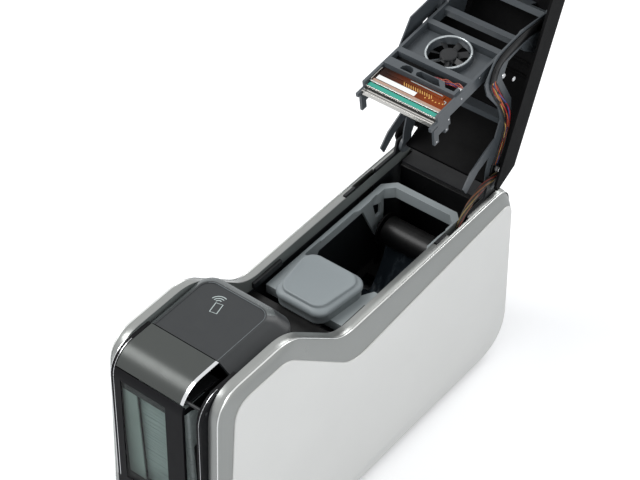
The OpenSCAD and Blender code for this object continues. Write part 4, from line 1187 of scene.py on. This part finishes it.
# %% Wires, rivets and fan ring of the print head
CLEAR = finish("clear_grey_fan_ring", (176, 182, 184), 0.16, 0.4, 900, 0.01, 0.05, Coat_Weight=0.6)
for hue, rgb, lift in (("red", (130, 28, 34), 0.0), ("blue", (42, 46, 104), 1.3),
                       ("orange", (150, 66, 44), 2.4)):
    pair = bmesh.new()
    for shift in (0.0, 2.6):
        tube(pair, smooth_route([(36.8, 41 - lift, -1 + lift), (31, 40 - shift, 0.6 + lift),
                                 (26, 36.4 + lift, 1.4), (19, 38.6 - shift, 0.2 + lift),
                                 (12, 35.2 + shift, 0.9), (5, 38 - lift, -1.2)], 6), 0.62, 8)
    part(hue + "_head_wires", pair, "wires", "head", HEAD,
         finish(hue + "_head_cover", rgb, 0.3, 0, 900, 0.01, 0.1))
boxes("head_plug", "card_white", [(32, 36.6, 34.6, 38.4, -2.8, 1.6)], "head", HEAD, LABEL,
      bevel=0.4)
rivets, ring = bmesh.new(), bmesh.new()
for y, z in ((12, -11.6), (8.5, -20.6), (-6, -23.4), (31, -2.4), (58, 0.4), (96, -1.6)):
    rod(rivets, 0.95, 39.6, 40.25, y, z, 20, 0.15)
part("side_rivets", rivets, "steel_bright", "head", HEAD)
tube(ring, [Vector((x, y, 2.2)) for x, y in arc(0, 68, 20.2, [7.5 * k for k in range(49)])],
     1.1, 10)
part("fan_ring", ring, "chrome_trim", "head", HEAD, CLEAR)
print("head dressed")

# %% [markdown]
# The fan blows on the heat sink. Its blades twist and widen outwards. One is drawn at a few
# stations along its length, and the ring tree sets seven of them round the hub.

# %% Fan blades
BLADE_FROM, BLADE_LONG, STATIONS = 7.4, 9.8, 6


def fan_blade():
    rings = []
    for k in range(STATIONS + 1):
        r = BLADE_FROM + BLADE_LONG * k / STATIONS
        lean, wide = math.radians(34 - 10 * k / STATIONS), 2.2 + 0.12 * k
        ring = []
        for s, h in ((-1, .18), (-.4, .35), (.4, .35), (1, .18), (1, -.18), (-1, -.18)):
            y, z = s * wide * math.cos(lean), s * wide * math.sin(lean) + h
            ring.append((z + 2.4, r, y))
        rings.append(ring)
    bm = bmesh.new()
    ring_skin(bm, rings)
    return bm


FAN = HEAD @ Matrix.Translation((0, 68, -4.5)) @ Matrix.Rotation(math.radians(-90), 4, "Y")
blades = repeated("fan_blades", RING, fan_blade(), "case_dark", "fan", place=FAN,
                  stands_for=("fan_rotor",), Count=7)
hub = bmesh.new()
post(hub, 8, 0, 68, -4.5, 0.5, 40, 0.8)
part("fan_hub", hub, "case_dark", "fan", HEAD)
print("fan of", len(blades.data.polygons), "faces")

# %% [markdown]
# Nine wires lie side by side along the right arm of the lid. Each has a lane of its own in a band
# 8 mm wide, and sways a little about it. They are held by the printer, so they are parts and not
# free cords. Flat black sleeves gather them at both ends, and a small cheek closes the gap beside
# the hinge.

# %% Wires along the lid
WIRE_RGB = {"red": (176, 40, 36), "orange": (206, 104, 52), "gold": (204, 164, 84),
            "blue": (60, 78, 150), "black": (24, 24, 26)}
COVER = {name: finish(name + "_wire_cover", rgb, 0.3, 0, 900, 0.01, 0.1)
         for name, rgb in WIRE_RGB.items()}
LANES = ["red", "black", "blue", "orange", "black", "red", "gold", "black", "black"]
LID_ROUTE = [(197.5, 213.5), (200, 222), (207, 234), (213, 248), (216, 262), (213, 278),
             (205, 294), (196, 310), (191, 324), (198, 338), (214, 343), (240, 345), (262, 343)]
CHEEK = [(199, 210.8), (206, 210.4), (208.2, 214), (207.4, 221), (204, 224.6), (199, 222)]
BAND_WIDE, SWAY, LIFT, WAVE_STEP, LID_WIRE_R = 8.0, 1.5, 0.34, 0.16, 0.6
lid_path = smooth_route([(47.25, y, z) for y, z in LID_ROUTE], 8)


def lid_wire(bm, k, count):
    pts = []
    for i, p in enumerate(lid_path):
        wave = i * WAVE_STEP + 2.4 * k
        lane = (k - (count - 1) / 2) * BAND_WIDE / (count - 1) + SWAY * math.sin(wave)
        lane = max(-4.2, min(4.2, lane))
        pts.append(p + square_to(heading(lid_path, i)) * lane
                   + Vector((LIFT * math.cos(wave), 0, 0)))
    tube(bm, pts, LID_WIRE_R)


def wire_sleeve(name, first, last):
    """A flat sleeve round the wires, from one point of their path to another."""
    section = [(5, .5), (4.3, .95), (-4.3, .95), (-5, .5), (-5, -.9), (-4.3, -1.5), (4.3, -1.5),
               (5, -.9)]
    rings = []
    for i in range(first, last):
        across = square_to(heading(lid_path, i))
        rings.append([lid_path[i] + across * a + Vector((b, 0, 0)) for a, b in section])
    return skin(name, "inner_black", rings, "lid", angle=60)


wire_sleeve("wire_sleeve", 64, len(lid_path))
wire_sleeve("hinge_sleeve", 0, 10)
cut_plate("hinge_cheek", "inner_black", CHEEK, 45.9, 47.1, "lid", bevel=0.2)
print("lid path of", len(lid_path), "points")

# %% [markdown]
# At the hinge the wires go on into the body through a rubber grommet, as two bundles of six that
# twist round one path. One of them is loose and bows up. The path runs forward along the right
# side of the bay, goes down beside the chassis and ends at a plug on the main board.

# %% Wires in the body
TWIST = ["gold", "black", "orange", "black", "red", "black"]
BODY_ROUTE = [(50.6, 201, 215.3), (50.5, 199, 214.8), (50.5, 188, 216), (50.5, 178, 215.8),
              (50.5, 168, 213.4), (50.5, 158, 209.2), (50.5, 149, 203), (50.8, 142, 194),
              (52.2, 138, 184), (55, 136.5, 172), (55, 136, 140), (55, 136, 80), (52, 136, 64),
              (46, 136, 57), (36, 137, 54), (22, 137, 49), (13, 136, 39)]
BUNDLE_R, BODY_WIRE_R, MM_PER_RADIAN = 1.45, 0.68, 9.0
body_path = smooth_route(BODY_ROUTE, 8)


def body_wire(bm, k, count, bow=0.0, last=None):
    """One wire of a twisted bundle. Bow lifts the middle of a loose bundle off the path."""
    pts, far, path = [], 0.0, body_path[:last]
    for i, p in enumerate(path):
        d = heading(path, i)
        far += (p - path[max(i - 1, 0)]).length
        side = d.cross(ASIDE).normalized()
        a = 2 * math.pi * k / count + far / MM_PER_RADIAN
        lift = bow * math.sin(math.pi * i / (len(path) - 1)) ** 0.7 if bow else 0.0
        pts.append(p + (side * math.cos(a) + d.cross(side) * math.sin(a)) * BUNDLE_R
                   + square_to(d) * lift)
    tube(bm, pts, BODY_WIRE_R)


grommet = bmesh.new()
tube(grommet, body_path[:6], 2.3, 20)
part("wire_grommet", grommet, "rubber_black", angle=60)
print("body path of", len(body_path), "points")

# %% [markdown]
# Each colour is one mesh in the lid and one in the body. In the body the covers are darker copies
# of the same colours, mixed with a little tan: painted shade of the bay.

# %% Wires by colour
BODY_WIRE_TAN_RGB = (150, 140, 110)
for colour, cover in COVER.items():
    band, twist = bmesh.new(), bmesh.new()
    for k, c in enumerate(LANES):
        if c == colour:
            lid_wire(band, k, len(LANES))
    for k, c in enumerate(TWIST):
        if c == colour:
            body_wire(twist, k, len(TWIST))
            body_wire(twist, k + 3, len(TWIST), bow=2.6, last=58)
    part(colour + "_lid_wires", band, "wires", "lid", BODY, cover, stands_for=("lid_harness",))
    if colour in TWIST:
        # Darker copies of the lid's wire colours, with a little tan: painted shade in the bay.
        dull = [0.44 * c + 0.2 * g for c, g in zip(WIRE_RGB[colour], BODY_WIRE_TAN_RGB)]
        shaded_cover_finish = finish(colour + "_hinge_wire_cover", dull, 0.36, 0, 900, 0.01, 0.2)
        part(colour + "_body_wires", twist, "wires", "body", BODY, shaded_cover_finish,
             stands_for=("body_harness",))
boxes("board_plug", "card_white", [(7, 19, 131, 141, 35.6, 39.4)], bevel=0.3)
print("wires:", len(LANES), "in the lid and", 2 * len(TWIST), "in the body")

# %% [markdown]
# The ribbon cartridge is pale moulded plastic: two side plates joined by flanges, with a round
# moulded handle pad. The pad is a loft whose outline wraps four round corners.

# %% Ribbon cartridge
dress_all((("cartridge_frame", "cart_grey", 0.6), ("supply_spool", "inner_black", 0),
           ("takeup_spool", "inner_black", 0)))


PAD_ROUND = 12


def pad_ring(z, d, n=96):
    """The outline of the pad at the height z, with its corner points moved in by d."""
    out = []
    for k in range(n):
        a = 2 * math.pi * k / n
        u = (math.cos(a), math.sin(a))
        x, y = max([(19 - d, 22 - d), (d - 19, 22 - d), (15 - d, d - 12), (d - 15, d - 12)],
                   key=lambda c: c[0] * u[0] + c[1] * u[1])
        out.append((x + PAD_ROUND * u[0], y + PAD_ROUND * u[1], z))
    return out


def handle_pad():
    steps = [(184, 0), (191.4, 0), (191.9, -0.4), (192.2, -1.0), (192.6, -1.2), (194.4, -1.2),
             (195.6, -1.0), (196.6, -0.4), (197.5, 0.5), (198.1, 1.4), (198.4, 2.2), (198.5, 2.6),
             (198.8, 2.8), (200.6, 3.0), (201.2, 3.3), (201.5, 3.9), (201.5, 4.6), (201.2, 6.2),
             (200.9, 8.4), (200.7, 10.5)]
    return skin("handle_pad", "handle_grey", [pad_ring(z, d) for z, d in steps], "cartridge",
                stands_for=("cartridge_handle",), angle=50)


pad_piece = handle_pad()
print("pad of", len(pad_piece.data.polygons), "faces")

# %% [markdown]
# The film between the spools is a thin closed sheet along its path, which bends round the platen
# roller. It is slightly wavy across its width.

# %% Ribbon film
FILM_PATH = [(35.2, 131.4), (46, 119.5), (62, 108), (82, 98), (96, 93.6)]
FILM_PATH += arc(104.8, 84.5, 8.2, range(100, -18, -15))
FILM_PATH += [(114.2, 85.6), (116.2, 85.8), (121.6, 88.6), (127, 96), (134.6, 107), (139.6, 117),
              (142, 126.2)]
FILM_TOP, FILM_LOW = 0.3, 0.12


def film():
    rows = []
    path = smooth_route([(0, y, z) for y, z in FILM_PATH], 3)
    for i, p in enumerate(path):
        out, top, low = square_to(heading(path, i)), [], []
        for x in range(-30, 31, 2):
            wave = 0.12 * math.sin(x * 0.31 + p.y * 0.11) + 0.08 * math.sin(x * 0.13 - p.y * 0.23)
            top.append(p + out * (FILM_TOP + wave * 0.5) + Vector((x, 0, 0)))
            low.append(p + out * (FILM_LOW + wave * 0.5) + Vector((x, 0, 0)))
        rows.append(top + low[::-1])
    return skin("film_sheet", "film_dark", rows, "cartridge", stands_for=("ribbon_film",),
                angle=60)


film_piece = film()
print("film of", len(film_piece.data.polygons), "faces")

# %% [markdown]
# The printer stands on a plain pale sweep. The floor adds a little white for camera rays only,
# so that it fades into the white room and still keeps the shadow of the printer.

# %% Floor
FLOOR_GREY, FLOOR_GLOW = 0.86, 0.3


def floor():
    bm = bmesh.new()
    bmesh.ops.create_grid(bm, x_segments=2, y_segments=2, size=6)
    obj = raw_object("floor", bm, Matrix.Identity(4))
    mat = bpy.data.materials.new("pale_floor")
    mat.use_nodes = True
    t = mat.node_tree
    bsdf = t.nodes["Principled BSDF"]
    bsdf.inputs["Base Color"].default_value = (FLOOR_GREY, FLOOR_GREY, FLOOR_GREY, 1)
    bsdf.inputs["Roughness"].default_value = 0.9
    bsdf.inputs["Emission Color"].default_value = (1, 1, 1, 1)
    path = t.nodes.new("ShaderNodeLightPath")
    t.links.new(math_node(t, "MULTIPLY", path.outputs["Is Camera Ray"], FLOOR_GLOW),
                bsdf.inputs["Emission Strength"])
    obj.data.materials.append(mat)
    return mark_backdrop(obj)


floor()
print("floor laid")

# %% [markdown]
# Last, the nodes that are still shown as plain solids are listed, and there should be none.

# %% Finish
left = [n for n, o in nodes.items() if not o.hide_render]
print("plain nodes still shown:", left)
